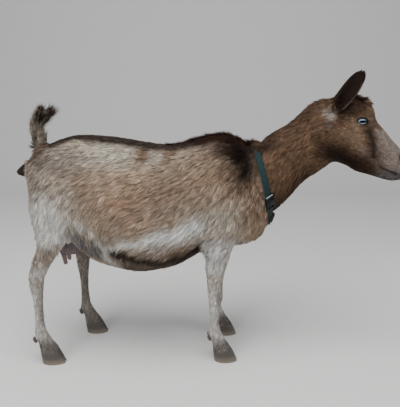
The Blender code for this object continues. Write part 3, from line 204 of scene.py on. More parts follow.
# Strokes: centre (y to either side), reach, amount
TRUNK_STROKES = (
    ((-0.285, 0.06, 0.535), (0.03, 0.022, 0.022), 0.005), ((0.05, 0.0, 0.556), (0.06, 0.022, 0.02), -0.0022),
    ((-0.395, 0.045, 0.48), (0.022, 0.02, 0.022), 0.005),
    ((-0.235, 0.11, 0.49), (0.045, 0.04, 0.045), -0.008),
    ((-0.27, 0.1, 0.33), (0.03, 0.04, 0.06), 0.004), ((0.055, 0.085, 0.44), (0.04, 0.04, 0.07), 0.006),
    ((0.11, 0.075, 0.38), (0.03, 0.04, 0.035), 0.007), ((0.0, 0.085, 0.345), (0.04, 0.04, 0.05), 0.006),
    ((-0.035, 0.1, 0.42), (0.022, 0.05, 0.08), -0.004), ((0.13, 0.05, 0.5), (0.025, 0.04, 0.035), -0.003),
    ((-0.34, 0.1, 0.4), (0.06, 0.05, 0.06), 0.004),
)
HEAD_STROKES = (
    ((0.0, 0.05, 0.003), (0.028, 0.02, 0.024), 0.0035),
    ((-0.004, 0.046, 0.022), (0.022, 0.016, 0.011), 0.005),
    ((0.014, 0.046, 0.01), (0.013, 0.014, 0.01), 0.0025),
    ((0.004, 0.05, -0.021), (0.022, 0.016, 0.008), 0.0025),
    ((0.036, 0.038, -0.012), (0.016, 0.016, 0.014), -0.004),
    ((-0.04, 0.045, -0.01), (0.016, 0.018, 0.022), -0.003),
    ((0.01, 0.04, -0.062), (0.03, 0.022, 0.028), 0.006),
    ((0.06, 0.03, -0.045), (0.026, 0.018, 0.016), -0.0035),
    ((0.055, 0.02, 0.018), (0.026, 0.014, 0.012), 0.002), ((0.04, 0.0, 0.03), (0.02, 0.016, 0.012), -0.003),
    ((0.13, 0.02, -0.008), (0.016, 0.012, 0.011), 0.0034),
    ((0.144, 0.018, -0.016), (0.008, 0.008, 0.006), -0.0016),
    ((0.134, 0.024, -0.034), (0.02, 0.012, 0.008), 0.0034),
    ((0.134, 0.02, -0.056), (0.018, 0.014, 0.009), 0.0016),
    ((0.156, 0.0, -0.028), (0.01, 0.003, 0.014), -0.0024),
    ((0.09, 0.026, -0.07), (0.026, 0.014, 0.01), -0.002),
)
# Mouth edge seen from the side: along the head, up from its axis
MOUTH = ((0.102, -0.052), (0.112, -0.0522), (0.126, -0.0482), (0.14, -0.0432), (0.153, -0.0395),
         (0.175, -0.0365))

# Height of the trunk's and neck's middle line over x, for the coat's chart
BODY_AXIS = ((-0.42, -0.15, 0.05, 0.16, 0.24, 0.33), (0.43, 0.375, 0.41, 0.43, 0.515, 0.57))

# Lie of the coat on the side: x, z, direction in x, direction in z
LIE = (
    (-0.36, 0.53, -0.8, -0.6), (-0.28, 0.55, -1.0, -0.15), (-0.1, 0.53, -1.0, -0.15),
    (0.04, 0.555, -1.0, -0.25), (0.12, 0.53, -0.8, -0.5), (-0.37, 0.46, -0.5, -0.85),
    (-0.28, 0.47, -0.85, -0.5), (-0.15, 0.46, -0.9, -0.45), (-0.02, 0.46, -0.8, -0.6),
    (0.08, 0.46, -0.55, -0.8), (-0.35, 0.38, -0.3, -0.95), (-0.3, 0.33, -0.25, -0.95),
    (-0.21, 0.36, -0.8, -0.6), (-0.1, 0.34, -0.85, -0.5), (0.0, 0.36, -0.65, -0.75),
    (0.08, 0.37, -0.35, -0.93), (-0.2, 0.25, -1.0, -0.15), (-0.08, 0.23, -1.0, -0.1),
    (0.02, 0.29, -0.7, -0.7), (0.14, 0.38, -0.3, -0.95), (0.165, 0.43, -0.3, -0.95),
    (0.18, 0.5, -0.75, -0.65), (0.22, 0.56, -0.8, -0.6), (0.29, 0.61, -0.85, -0.5),
    (0.25, 0.48, -0.6, -0.8), (0.21, 0.42, -0.4, -0.92), (0.33, 0.53, -0.75, -0.65),
    (-0.27, 0.315, 0.35, -0.93), (-0.235, 0.29, 0.55, -0.8),
)
HEAD_LIE = (
    (0.15, -0.005, -1.0, 0.1), (0.1, 0.01, -1.0, 0.1), (0.05, 0.018, -1.0, 0.3),
    (0.012, 0.04, -0.7, 0.4), (-0.035, 0.045, 0.8, 0.1), (0.02, -0.05, -0.9, -0.4),
    (0.08, -0.06, -1.0, -0.15), (0.0, -0.1, -0.9, -0.3), (-0.04, 0.0, -0.8, -0.5),
    (0.14, -0.06, -0.9, -0.4), (0.03, 0.0, -1.0, -0.3), (-0.06, -0.06, -0.8, -0.5),
)

# Colours of the markings
INK = (0.0055, 0.0022, 0.0016)
BLACK_SKIN = (0.011, 0.007, 0.006)
PITCH = (0.02, 0.012, 0.009)
CHOCOLATE = (0.034, 0.018, 0.012)
SABLE = (0.022, 0.0095, 0.0055)
SOOT = (0.02, 0.014, 0.012)
BROWN = (0.132, 0.079, 0.048)
UMBER = (0.185, 0.114, 0.069)
TAN = (0.3, 0.193, 0.121)
RUST = (0.29, 0.186, 0.118)
FAWN = (0.33, 0.262, 0.198)
STONE = (0.43, 0.39, 0.325)
ASH = (0.205, 0.172, 0.146)
SLATE = (0.1, 0.095, 0.1)
MAUVE = (0.23, 0.185, 0.19)
OLIVE = (0.19, 0.165, 0.125)
SILVER = (0.56, 0.55, 0.53)
PALE = (0.72, 0.715, 0.68)
# Colours of pupil and horn
PUPIL = (0.001, 0.001, 0.002)
HORN_BAND = (0.062, 0.05, 0.04)
WORN_HORN = (0.17, 0.14, 0.105)
# Rings of the iris and the ball's back: part of the ball's half turn, colour
IRIS_RINGS = (
    (0.0, (0.14, 0.21, 0.34)), (0.3, (0.26, 0.35, 0.52)), (0.55, (0.4, 0.49, 0.66)),
    (0.74, (0.26, 0.33, 0.48)),
    (0.81, (0.03, 0.04, 0.06)), (0.9, (0.012, 0.01, 0.01)), (1.0, (0.06, 0.04, 0.035)),
)
# How far the grain varies a finish's roughness, and its steps across, along and between strands
WEAR = 0.08
STRAND_GRAIN = (6.0, 1.3, 3.7)

# Markings of trunk and legs: x, z, reach in x, reach in z, colour, strength
MARKS = (
    (-0.2, 0.51, 0.095, 0.026, STONE, 0.85), (-0.165, 0.41, 0.1, 0.058, RUST, 0.8),
    (-0.1, 0.375, 0.085, 0.04, RUST, 0.6), (-0.05, 0.445, 0.07, 0.045, UMBER, 0.6),
    (-0.07, 0.385, 0.06, 0.026, FAWN, 0.7), (-0.15, 0.462, 0.06, 0.022, TAN, 0.35),
    (-0.33, 0.5, 0.06, 0.036, ASH, 0.9), (-0.386, 0.503, 0.03, 0.022, CHOCOLATE, 0.85),
    (-0.392, 0.536, 0.03, 0.014, BROWN, 0.92), (-0.365, 0.44, 0.03, 0.03, ASH, 0.45),
    (-0.268, 0.436, 0.036, 0.034, UMBER, 0.7), (-0.372, 0.518, 0.024, 0.02, BROWN, 0.6),
    (-0.274, 0.457, 0.013, 0.013, UMBER, 0.5), (-0.311, 0.396, 0.01, 0.016, UMBER, 0.35),
    (-0.295, 0.42, 0.03, 0.04, STONE, 0.4), (-0.352, 0.375, 0.046, 0.046, PALE, 0.7),
    (-0.372, 0.455, 0.036, 0.04, ASH, 0.35), (-0.345, 0.33, 0.042, 0.036, PALE, 0.85),
    (-0.366, 0.288, 0.03, 0.026, ASH, 0.45), (-0.381, 0.235, 0.024, 0.026, SILVER, 0.75),
    (-0.128, 0.508, 0.022, 0.021, BROWN, 0.97), (-0.07, 0.507, 0.02, 0.022, BROWN, 0.85),
    (-0.098, 0.498, 0.014, 0.014, STONE, 0.6), (0.03, 0.44, 0.055, 0.055, TAN, 0.75),
    (0.01, 0.5, 0.05, 0.022, UMBER, 0.6), (0.03, 0.362, 0.052, 0.042, STONE, 0.8),
    (0.034, 0.256, 0.04, 0.034, PALE, 0.8), (0.134, 0.375, 0.028, 0.055, TAN, 0.75),
    (0.16, 0.487, 0.018, 0.05, UMBER, 0.5), (0.124, 0.44, 0.024, 0.04, UMBER, 0.8),
    (0.02, 0.424, 0.034, 0.02, FAWN, 0.4), (0.07, 0.474, 0.036, 0.026, BROWN, 0.7),
    (0.09, 0.446, 0.026, 0.026, BROWN, 0.65), (0.128, 0.398, 0.022, 0.034, BROWN, 0.55),
    (0.204, 0.48, 0.018, 0.026, UMBER, 0.65), (0.106, 0.484, 0.032, 0.04, INK, 0.97),
    (0.078, 0.52, 0.064, 0.026, SABLE, 0.97), (0.096, 0.512, 0.022, 0.02, INK, 0.9),
    (0.086, 0.302, 0.034, 0.016, STONE, 0.8), (0.04, 0.29, 0.052, 0.034, SILVER, 0.8),
    (0.12, 0.322, 0.02, 0.014, TAN, 0.6), (-0.284, 0.316, 0.02, 0.026, SLATE, 0.9),
    (-0.256, 0.29, 0.03, 0.02, SLATE, 0.85), (-0.238, 0.306, 0.034, 0.022, SLATE, 0.6),
    (-0.19, 0.264, 0.026, 0.018, ASH, 0.7), (-0.277, 0.356, 0.014, 0.012, SILVER, 0.6),
    (-0.08, 0.292, 0.06, 0.012, UMBER, 0.75), (-0.004, 0.302, 0.012, 0.022, INK, 0.9),
    (-0.05, 0.292, 0.044, 0.01, UMBER, 0.7),
)
# Bands on the side: points in x and z, half width, colour, strength
BANDS = (
    (((-0.215, 0.303), (-0.168, 0.314), (-0.123, 0.322), (-0.06, 0.334), (-0.009, 0.36)), 0.0085, PALE, 0.8),
    (((-0.11, 0.322), (-0.06, 0.332), (-0.03, 0.342), (-0.008, 0.35)), 0.018, PALE, 0.95),
    (((-0.2, 0.292), (-0.168, 0.282), (-0.138, 0.272), (-0.093, 0.266), (-0.052, 0.268), (-0.004, 0.284)),
     0.015, INK, 0.96),
    (((-0.175, 0.25), (-0.135, 0.24), (-0.06, 0.245), (0.0, 0.268)), 0.02, CHOCOLATE, 0.92),
    (((-0.252, 0.342), (-0.232, 0.304), (-0.212, 0.268), (-0.188, 0.246)), 0.006, SILVER, 0.62),
)
# Colour marks of the head, one of them a painted shadow: along, up, reach along, reach up, colour, strength
HEAD_MARKS = (
    (-0.004, -0.04, 0.032, 0.022, UMBER, 0.75), (0.018, -0.03, 0.014, 0.012, TAN, 0.6),
    (0.003, -0.018, 0.014, 0.009, TAN, 0.5), (0.038, -0.051, 0.018, 0.013, TAN, 0.45),
    (0.016, 0.014, 0.009, 0.008, ASH, 0.6), (0.068, -0.019, 0.013, 0.011, ASH, 0.5),
    (0.096, -0.026, 0.012, 0.007, CHOCOLATE, 0.5), (0.022, -0.068, 0.03, 0.016, CHOCOLATE, 0.25),
    # The ink mark at (0.085, -0.078) makes the face darker towards the jaw's lower edge.
    (0.085, -0.078, 0.034, 0.016, INK, 0.8), (0.056, -0.046, 0.02, 0.016, ASH, 0.3),
    (-0.004, 0.03, 0.022, 0.01, CHOCOLATE, 0.45), (0.072, 0.002, 0.036, 0.016, ASH, 0.85),
    (0.106, -0.012, 0.03, 0.026, ASH, 0.8), (0.126, -0.034, 0.024, 0.014, ASH, 0.6),
    (0.09, -0.042, 0.016, 0.01, SLATE, 0.45), (0.01, -0.098, 0.036, 0.024, INK, 0.92),
    (0.046, -0.084, 0.04, 0.022, INK, 0.92), (0.08, -0.07, 0.036, 0.016, CHOCOLATE, 0.85),
    (0.132, -0.058, 0.028, 0.016, SLATE, 0.85), (-0.02, 0.034, 0.036, 0.022, CHOCOLATE, 0.78),
    (0.012, 0.04, 0.018, 0.012, TAN, 0.45), (-0.04, 0.0, 0.02, 0.024, INK, 0.85),
    # The slate mark at (-0.053, -0.05) is a painted shadow under the pale patch below the ear.
    (-0.064, 0.02, 0.03, 0.016, CHOCOLATE, 0.6), (-0.053, -0.05, 0.012, 0.008, SLATE, 0.5),
    (-0.0655, -0.0245, 0.0105, 0.012, STONE, 0.9), (0.002, 0.022, 0.01, 0.008, UMBER, 0.5),
    (-0.03, -0.104, 0.03, 0.02, CHOCOLATE, 0.7), (0.152, -0.022, 0.026, 0.026, ASH, 0.85),
    (0.152, -0.048, 0.026, 0.014, SLATE, 0.75),
)
HEAD_BANDS = (
    (((0.0255, -0.0035), (0.042, -0.014), (0.06, -0.029), (0.074, -0.042)), 0.0105, SOOT, 0.9),
)
# Lines along the neck, points in x and z
THROAT_LINE = ((0.2, 0.385), (0.256, 0.438), (0.325, 0.487), (0.372, 0.5))
NAPE_LINE = ((0.13, 0.53), (0.17, 0.555), (0.262, 0.618), (0.302, 0.64))
# Tufts: parts of the length where a cross section lies, with its share of the width
SHORT_TUFT = ((0.4, 1.0),)
LONG_TUFT = ((0.15, 0.9), (0.45, 1.0), (0.76, 0.65))
BAKE_PATCH = 0.003
TUFT_BUDGET = 332000
TUFTS_PER_PIECE = 49500
UDDER_TUFTS = 9000
FUZZ_FROM = 0.254
TUFTS_PER_LOCK = 13
CREST_LOCKS = 190
NAPE_LOCKS = 90
TAIL_LOCKS = 88
GOLDEN_TURN = 2.399963
COAT_PARTS = ("head", "forequarter", "barrel", "hindquarter")
# Hooves
CLEFT_HALF = 0.0012
GROWTH_RING = 0.0046
# Dewclaw, each slice: height over its middle, share of its size
DEWCLAW = ((0.0078, 0.35), (0.006, 0.75), (0.002, 1.0), (-0.003, 0.9), (-0.007, 0.55), (-0.0088, 0.2))

# Collar: the strap's cross section is across, from -1 to 1, and share of the thickness
COLLAR_STEPS = 44
STRAP_HALF_WIDTH = 0.007
STRAP_BOW = 3.0
STRAP_EDGE = ((-1.0, 0.25), (-0.96, 0.0), (0.0, -0.04), (0.96, 0.0), (1.0, 0.25), (1.0, 0.75), (0.96, 1.0),
              (0.5, 1.06), (0.0, 1.08), (-0.5, 1.06), (-0.96, 1.0), (-1.0, 0.75))
STRAP_TOP = 8
STRAP_END = (0.548, 0.672)
# Buckle, each rounded box: centre along, across and out, half sizes, radius of its edges
HOUSING_BOXES = (
    ((0.0, 0.0, 0.0024), (0.0122, 0.0122, 0.0038), 0.0018),
    ((0.003, 0.0, 0.0064), (0.006, 0.006, 0.0008), 0.0006),
    ((0.0148, 0.0103, 0.0022), (0.006, 0.0019, 0.0027), 0.0011),
    ((0.0148, -0.0103, 0.0022), (0.006, 0.0019, 0.0027), 0.0011),
    ((0.015, 0.0, 0.002), (0.005, 0.0026, 0.002), 0.0009),
    ((0.0196, 0.0, 0.0022), (0.0022, 0.0118, 0.003), 0.001),
)
SLIDE_BOXES = (
    ((-0.0046, 0.0, 0.0024), (0.0017, 0.0116, 0.0028), 0.001),
    ((0.0046, 0.0, 0.0024), (0.0019, 0.0116, 0.003), 0.0011),
    ((0.0, 0.0104, 0.0022), (0.006, 0.0015, 0.0026), 0.0009),
    ((0.0, -0.0104, 0.0022), (0.006, 0.0015, 0.0026), 0.0009),
    ((0.0, 0.0, 0.0036), (0.0013, 0.0104, 0.0016), 0.0007),
)

BAR_BOX = ((-0.013, 0.0, 0.005), (0.0009, 0.0104, 0.0009), 0.0005)

# Lights: name, place, aim, size, power
LIGHTS = (
    ("over light", (-0.3, -0.9, 2.7), (0.0, 0.0, 0.4), 2.2, 80.0),
    ("front light", (-1.6, -2.8, 1.5), (0.0, 0.0, 0.4), 2.0, 44.0),
    ("side light", (2.6, -1.6, 1.6), (0.1, 0.0, 0.4), 2.0, 22.0),
)
# Reach of the lens in pixels of a picture of this width
FOCAL_PIXELS = 480.0
PICTURE_PIXELS = 407.0

made = {}


# Shapes

def read_field(items, field, width=3, kind=float):
    """One row per item, such as the place of each point."""
    values = np.empty(len(items) * width, kind)
    items.foreach_get(field, values)
    return values.reshape(-1, width)


def points_of(obj):
    return read_field(obj.data.vertices, "co")


def normals_of(obj):
    return read_field(obj.data.vertices, "normal")


def set_points(obj, points):
    obj.data.vertices.foreach_set("co", np.ascontiguousarray(points, dtype=np.float32).ravel())
    obj.data.update()


def unit(vectors):
    vectors = np.asarray(vectors, float)
    return vectors / np.maximum(np.linalg.norm(vectors, axis=-1, keepdims=True), 1e-9)


def step_up(values, low, high):
    part = np.clip((values - low) / (high - low), 0.0, 1.0)
    return part * part * (3 - 2 * part)


def edges_of(obj):
    return read_field(obj.data.edges, "vertices", 2, np.int64)


def bell(values, reach, middle=0.0, power=2):
    """1 at the middle, falling to nearly nothing beyond the reach."""
    return np.exp(-(np.abs((values - middle) / reach) ** power))


def blend(first, second, share):
    return first * (1 - share) + second * share


def mirrored(place, side):
    return np.array([place[0], place[1] * side, place[2]])


def across_to(vectors, axes):
    """The unit part of vectors that stands square to the axes."""
    vectors = np.asarray(vectors, float)
    return unit(vectors - axes * (vectors * axes).sum(axis=-1, keepdims=True))


def spline(rows, steps):
    """Rows of numbers with a smooth run between them."""
    rows = np.array(rows, float)
    ends = np.vstack([2 * rows[0] - rows[1], rows, 2 * rows[-1] - rows[-2]])
    out = []
    for index in range(len(rows) - 1):
        a, b, c, d = ends[index : index + 4]
        for t in np.arange(steps) / steps:
            out.append(0.5 * (2 * b + (c - a) * t + (2 * a - 5 * b + 4 * c - d) * t**2
                              + (3 * b - a - 3 * c + d) * t**3))
    out.append(rows[-1])
    return np.array(out)


def ring(top, bottom, middle_y, half, wide, power, around):
    angle = np.arange(around) * 2 * math.pi / around
    side = np.sign(np.cos(angle)) * np.abs(np.cos(angle)) ** (2 / power) * half
    rise = np.sign(np.sin(angle)) * np.abs(np.sin(angle)) ** (2 / power)
    part = np.where(rise > 0, rise * (1 - wide), rise * wide) + wide
    x = bottom[0] + (top[0] - bottom[0]) * part
    z = bottom[1] + (top[1] - bottom[1]) * part
    return np.column_stack([x, middle_y + side, z])


def faced_out(points, faces):
    volume = 0.0
    for face in faces:
        a = points[face[0]]
        for b, c in zip(face[1:-1], face[2:]):
            volume += np.dot(a, np.cross(points[b], points[c]))
    return faces if volume > 0 else [tuple(reversed(face)) for face in faces]


def band_faces(levels, around, closed):
    """Faces between rings of points, and back to the first ring where the band is closed."""
    faces = []
    for level in range(levels if closed else levels - 1):
        low, high = level * around, (level + 1) % levels * around
        for step in range(around):
            after = (step + 1) % around
            faces.append((low + step, low + after, high + after, high + step))
    return faces


def skin_of_rings(rings):
    """Points and faces of a closed body through the rings, with a fan at each end."""
    count = len(rings[0])
    points = np.vstack(rings + [rings[0].mean(axis=0)[None], rings[-1].mean(axis=0)[None]])
    faces = band_faces(len(rings), count, closed=False)
    first = len(rings) * count
    last = first - count
    for step in range(count):
        after = (step + 1) % count
        faces.append((first, after, step))
        faces.append((first + 1, last + step, last + after))
    return points, faced_out(points, faces)


def loft(sections, around, steps, place=None):
    rings = []
    for row in spline(sections, steps):
        rings.append(ring(row[0:2], row[2:4], row[4], max(row[5], 0.001), row[6], row[7], around))
    if place is not None:
        rings = [place(points) for points in rings]
    return skin_of_rings(rings)


def joined(shapes):
    points, faces, start = [], [], 0
    for own, own_faces in shapes:
        points.append(own)
        faces += [tuple(start + index for index in face) for face in own_faces]
        start += len(own)
    return np.vstack(points), faces


def linked(name, data):
    obj = bpy.data.objects.new(name, data)
    bpy.context.scene.collection.objects.link(obj)
    return obj


def mesh_object(name, points, faces, edges=()):
    mesh = bpy.data.meshes.new(name)
    mesh.from_pydata(np.asarray(points, float).tolist(), edges, faces)
    mesh.update()
    return linked(name, mesh)


def array_object(name, points, triangles):
    """A mesh object of triangles straight from arrays."""
    mesh = bpy.data.meshes.new(name)
    mesh.vertices.add(len(points))
    mesh.vertices.foreach_set("co", np.ascontiguousarray(points, np.float32).ravel())
    mesh.loops.add(triangles.size)
    mesh.loops.foreach_set("vertex_index", np.ascontiguousarray(triangles, np.int32).ravel())
    mesh.polygons.add(len(triangles))
    mesh.polygons.foreach_set("loop_start", np.arange(0, triangles.size, 3, dtype=np.int32))
    mesh.polygons.foreach_set("use_smooth", np.ones(len(triangles), bool))
    mesh.update(calc_edges=True)
    return linked(name, mesh)


def baked(obj):
    bpy.context.view_layer.update()
    graph = bpy.context.evaluated_depsgraph_get()
    mesh = bpy.data.meshes.new_from_object(obj.evaluated_get(graph))
    obj.modifiers.clear()
    old = obj.data
    obj.data = mesh
    bpy.data.meshes.remove(old)
    return obj


def remeshed(obj, size):
    even = obj.modifiers.new("even skin", "REMESH")
    even.mode = "VOXEL"
    even.voxel_size = size
    return baked(obj)


def combined(obj, other, operation, solver="MANIFOLD"):
    change = obj.modifiers.new("change", "BOOLEAN")
    change.operation = operation
    change.object = other
    change.solver = solver
    baked(obj)
    bpy.data.objects.remove(other)
    return obj


def edit_mesh(obj, change):
    work = bmesh.new()
    work.from_mesh(obj.data)
    change(work)
    work.to_mesh(obj.data)
    work.free()
    obj.data.update()


def triangulated(obj):
    edit_mesh(obj, lambda work: bmesh.ops.triangulate(work, faces=work.faces))


def neighbour_mean(points, pairs, degree):
    total = np.empty_like(points)
    for axis in range(points.shape[1]):
        total[:, axis] = np.bincount(pairs[:, 0], points[pairs[:, 1], axis], len(points))
        total[:, axis] += np.bincount(pairs[:, 1], points[pairs[:, 0], axis], len(points))
    return total / degree


def smoothed(points, pairs, rounds, weight=None):
    """Evens the surface out without shrinking it; a weight per point limits where."""
    degree = np.maximum(np.bincount(pairs.ravel(), minlength=len(points)), 1)[:, None]
    strength = 1.0 if weight is None else weight[:, None]
    for _ in range(rounds):
        for factor in (0.62, -0.64):
            points = points + factor * strength * (neighbour_mean(points, pairs, degree) - points)
    return points


def evened(points, pairs, rounds, weight):
    """Draws each point towards the mean of its neighbours, by its weight."""
    degree = np.bincount(pairs.ravel(), minlength=len(points))[:, None]
    for _ in range(rounds):
        points = points + 0.5 * weight[:, None] * (neighbour_mean(points, pairs, degree) - points)
    return points


def settled(points, pairs, rounds):
    """Lets the flesh run smoothly over the places where limbs and neck join the trunk."""
    weight = np.zeros(len(points))
    for centre, reach in JOINS:
        for side in SIDES:
            away = (points - mirrored(centre, side)) / np.array(reach)
            weight = np.maximum(weight, np.exp(-((away**2).sum(axis=1) ** 2)))
    return evened(points, pairs, rounds, weight)


def refined(obj, wanted):
    """Splits the faces whose corners are all wanted into four."""
    def split(work):
        edges = set()
        for face in work.faces:
            if all(wanted[corner.index] for corner in face.verts):
                edges.update(face.edges)
        bmesh.ops.subdivide_edges(work, edges=list(edges), cuts=1, use_grid_fill=True)

    edit_mesh(obj, split)
    return points_of(obj)


# Places

def neck_y(x):
    run = np.clip((x - NECK_BEND_FROM) / (NECK_BEND_TO - NECK_BEND_FROM), 0.0, 1.0)
    bend = (NECK_BEND_TO - NECK_BEND_FROM) / 2 * run**2 + np.clip(x - NECK_BEND_TO, 0.0, None)
    return -math.tan(HEAD_TURN) * bend


def head_to_world(points):
    """Places points given as (along the head, to the left, up from its axis)."""
    points = np.asarray(points, float)
    along, side, up = points[..., 0], points[..., 1], points[..., 2]
    x = HEAD_ORIGIN[0] + along * math.cos(HEAD_DROP) + up * math.sin(HEAD_DROP)
    z = HEAD_ORIGIN[1] - along * math.sin(HEAD_DROP) + up * math.cos(HEAD_DROP)
    cos, sin = math.cos(HEAD_TURN), math.sin(HEAD_TURN)
    forward = x - HEAD_TURN_AT
    return np.stack([HEAD_TURN_AT + forward * cos + side * sin, -forward * sin + side * cos, z], axis=-1)


def world_to_head(points):
    points = np.asarray(points, float)
    cos, sin = math.cos(HEAD_TURN), math.sin(HEAD_TURN)
    dx, dy = points[..., 0] - HEAD_TURN_AT, points[..., 1]
    x = HEAD_TURN_AT + dx * cos - dy * sin - HEAD_ORIGIN[0]
    side = dx * sin + dy * cos
    z = points[..., 2] - HEAD_ORIGIN[1]
    along = x * math.cos(HEAD_DROP) - z * math.sin(HEAD_DROP)
    up = x * math.sin(HEAD_DROP) + z * math.cos(HEAD_DROP)
    return np.stack([along, side, up], axis=-1)


def head_direction(vectors):
    return head_to_world(np.asarray(vectors, float)) - head_to_world(np.zeros(3))


def eye_middle(side):
    return np.array([0.0, side * EYE_SIDE, 0.0])


def eye_axes(side, tilt=LID_TILT):
    """Axes of an eye in the head's frame: out along its axis, along the lids or the pupil, and up."""
    out = unit([0.30, 0.945 * side, 0.10])
    along = across_to([math.cos(tilt), 0.0, math.sin(tilt)], out)
    up = np.cross(along, out) * side
    return out, along, up if up[2] > 0 else -up


def lid_edge(side, local):
    """How far points are from an eye's opening: under 1 inside it. Also their distance from its middle."""
    out, along, up = eye_axes(side)
    away = local - eye_middle(side)
    distance = np.maximum(np.linalg.norm(away, axis=-1), 1e-6)
    flat_u, flat_v = away @ along, away @ up
    rise = np.where(flat_v > 0, LID_RISE_UPPER, LID_RISE_LOWER)
    reach = (flat_u / LID_HALF_LENGTH) ** 2 + np.abs(flat_v / rise) ** 1.6
    return np.where(away @ out > 0, reach, 99.0), distance, away


def mouth_distance(local):
    return line_distance(local[:, [0, 2]], spline(MOUTH, 4))


def shift_x():
    """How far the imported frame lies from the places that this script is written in."""
    low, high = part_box("eye_right")
    return (low[0] + high[0]) / 2 - head_to_world(eye_middle(-1))[0]


def line_distance(points, line):
    """Distance of flat points from a line of points."""
    best = np.full(len(points), 9.0)
    for a, b in zip(line[:-1], line[1:]):
        run = b - a
        part = np.clip(((points - a) @ run) / np.dot(run, run), 0.0, 1.0)
        best = np.minimum(best, np.linalg.norm(points - a - part[:, None] * run, axis=1))
    return best


def is_head(points):
    local = world_to_head(points)
    before_nape = step_up(local[:, 0] + 0.25 * (local[:, 2] + 0.05), -0.085, -0.055)
    return before_nape * step_up(points[:, 0], 0.25, 0.29)


def is_tail(points):
    x, y, z = points.T
    return step_up(z - 0.68 * x - 0.779, 0.0, 0.010) * (x < -0.353) * (np.abs(y) < 0.024)


def toe_place(hind, left):
    """How far forward the toes of a foot stand."""
    return np.where(hind, HIND_TOE, FORE_TOE) + left * np.where(hind, LEFT_HIND_FORWARD, LEFT_FORE_FORWARD)


def coronet_height(points):
    """Height above the line where hair ends and horn begins."""
    x = points[:, 0]
    run = x - toe_place(x < BETWEEN_LEGS, points[:, 1] > 0)
    return points[:, 2] - np.interp(run, (-CORONET_REACH, CORONET_REACH), (CORONET_HEEL, CORONET_TOE))


def coat_depth(points):
    """How far the skin lies under the outer surface of the coat."""
    local = world_to_head(points)
    x, y, z = points.T
    depth = np.full(len(points), 0.0065)
    depth -= 0.0035 * step_up(0.33 - z, 0.02, 0.10) * (np.abs(y) > 0.035)
    depth -= 0.0014 * step_up(0.22 - z, 0.0, 0.05)
    face = 0.0030 - 0.0014 * step_up(local[:, 0], -0.04, 0.05) - 0.0009 * step_up(local[:, 0], 0.07, 0.13)
    for side in SIDES:
        face = face * (0.25 + 0.75 * step_up(lid_edge(side, local)[1], 0.016, 0.028))
    depth = blend(depth, face, is_head(points))
    depth = blend(depth, 0.0007, step_up(-x, 0.402, 0.420) * (z < 0.505) * (z > 0.43))
    depth = blend(depth, 0.0025, is_tail(points))
    return depth * (1 - 0.62 * bell(collar_offset(points), 0.0085, power=4))


def collar_axes():
    """Direction along the neck, away from the body, and up across the collar's plane."""
    up = unit(COLLAR_UP)
    return np.cross(LEFTWARDS, up), up


def collar_offset(points):
    """Distance along the neck from the collar's plane."""
    normal = collar_axes()[0]
    away = points - COLLAR_MIDDLE
    near = (np.linalg.norm(away, axis=1) < 0.19) & (points[:, 0] > 0.06)
    return np.where(near, away @ normal, 1.0)


# Markings

def wave(points, size, seed):
    """Smooth irregular variation from -1 to 1 with the given size in metres."""
    chance = np.random.default_rng(seed)
    total = np.zeros(len(points))
    for _ in range(7):
        way = unit(chance.normal(size=3)) * (2 * math.pi / size) * chance.uniform(0.6, 1.5)
        total += np.sin(points @ way + chance.uniform(0, 6.28))
    return total / 3.2


def laid_over(colour, new, weight):
    return colour + (np.array(new) - colour) * np.clip(weight, 0.0, 1.0)[:, None]


def side_marks(points, colour, marks, bands):
    for x, z, reach_x, reach_z, tint, strength in marks:
        away = ((points[:, 0] - x) / reach_x) ** 2 + ((points[:, 2] - z) / reach_z) ** 2
        colour = laid_over(colour, tint, strength * np.exp(-(away**1.3)))
    for line, width, tint, strength in bands:
        away = line_distance(points[:, [0, 2]], np.array(line)) / width
        colour = laid_over(colour, tint, strength * np.exp(-(away**1.9)))
    return colour


def face_tone(local, ragged):
    """The face's colour, from places in the head's frame and the same places a little shifted."""
    face = side_marks(ragged, np.tile(np.array(BROWN), (len(local), 1)), HEAD_MARKS, HEAD_BANDS)
    for side in SIDES:
        edge, distance, away = lid_edge(side, local)
        face = laid_over(face, TAN, 0.40 * bell(distance, 0.0030, 0.0200) * (away[:, 2] < -0.004))
        face = laid_over(face, INK, 0.92 * (1 - step_up(edge, 1.20, 1.85)) * (distance < 0.022))
    face = laid_over(face, INK, 0.6 * bell(mouth_distance(local), 0.0030))
    nose = step_up(ragged[:, 0], 0.146, 0.154) * bell(ragged[:, 1], 0.0085, power=4)
    face = laid_over(face, SOOT, 0.85 * nose * step_up(ragged[:, 2], -0.038, -0.034))
    for side in SIDES:
        face = laid_over(face, INK, 0.9 * (1 - step_up(nostril_shape(side, local), 1.0, 1.5)))
    return face


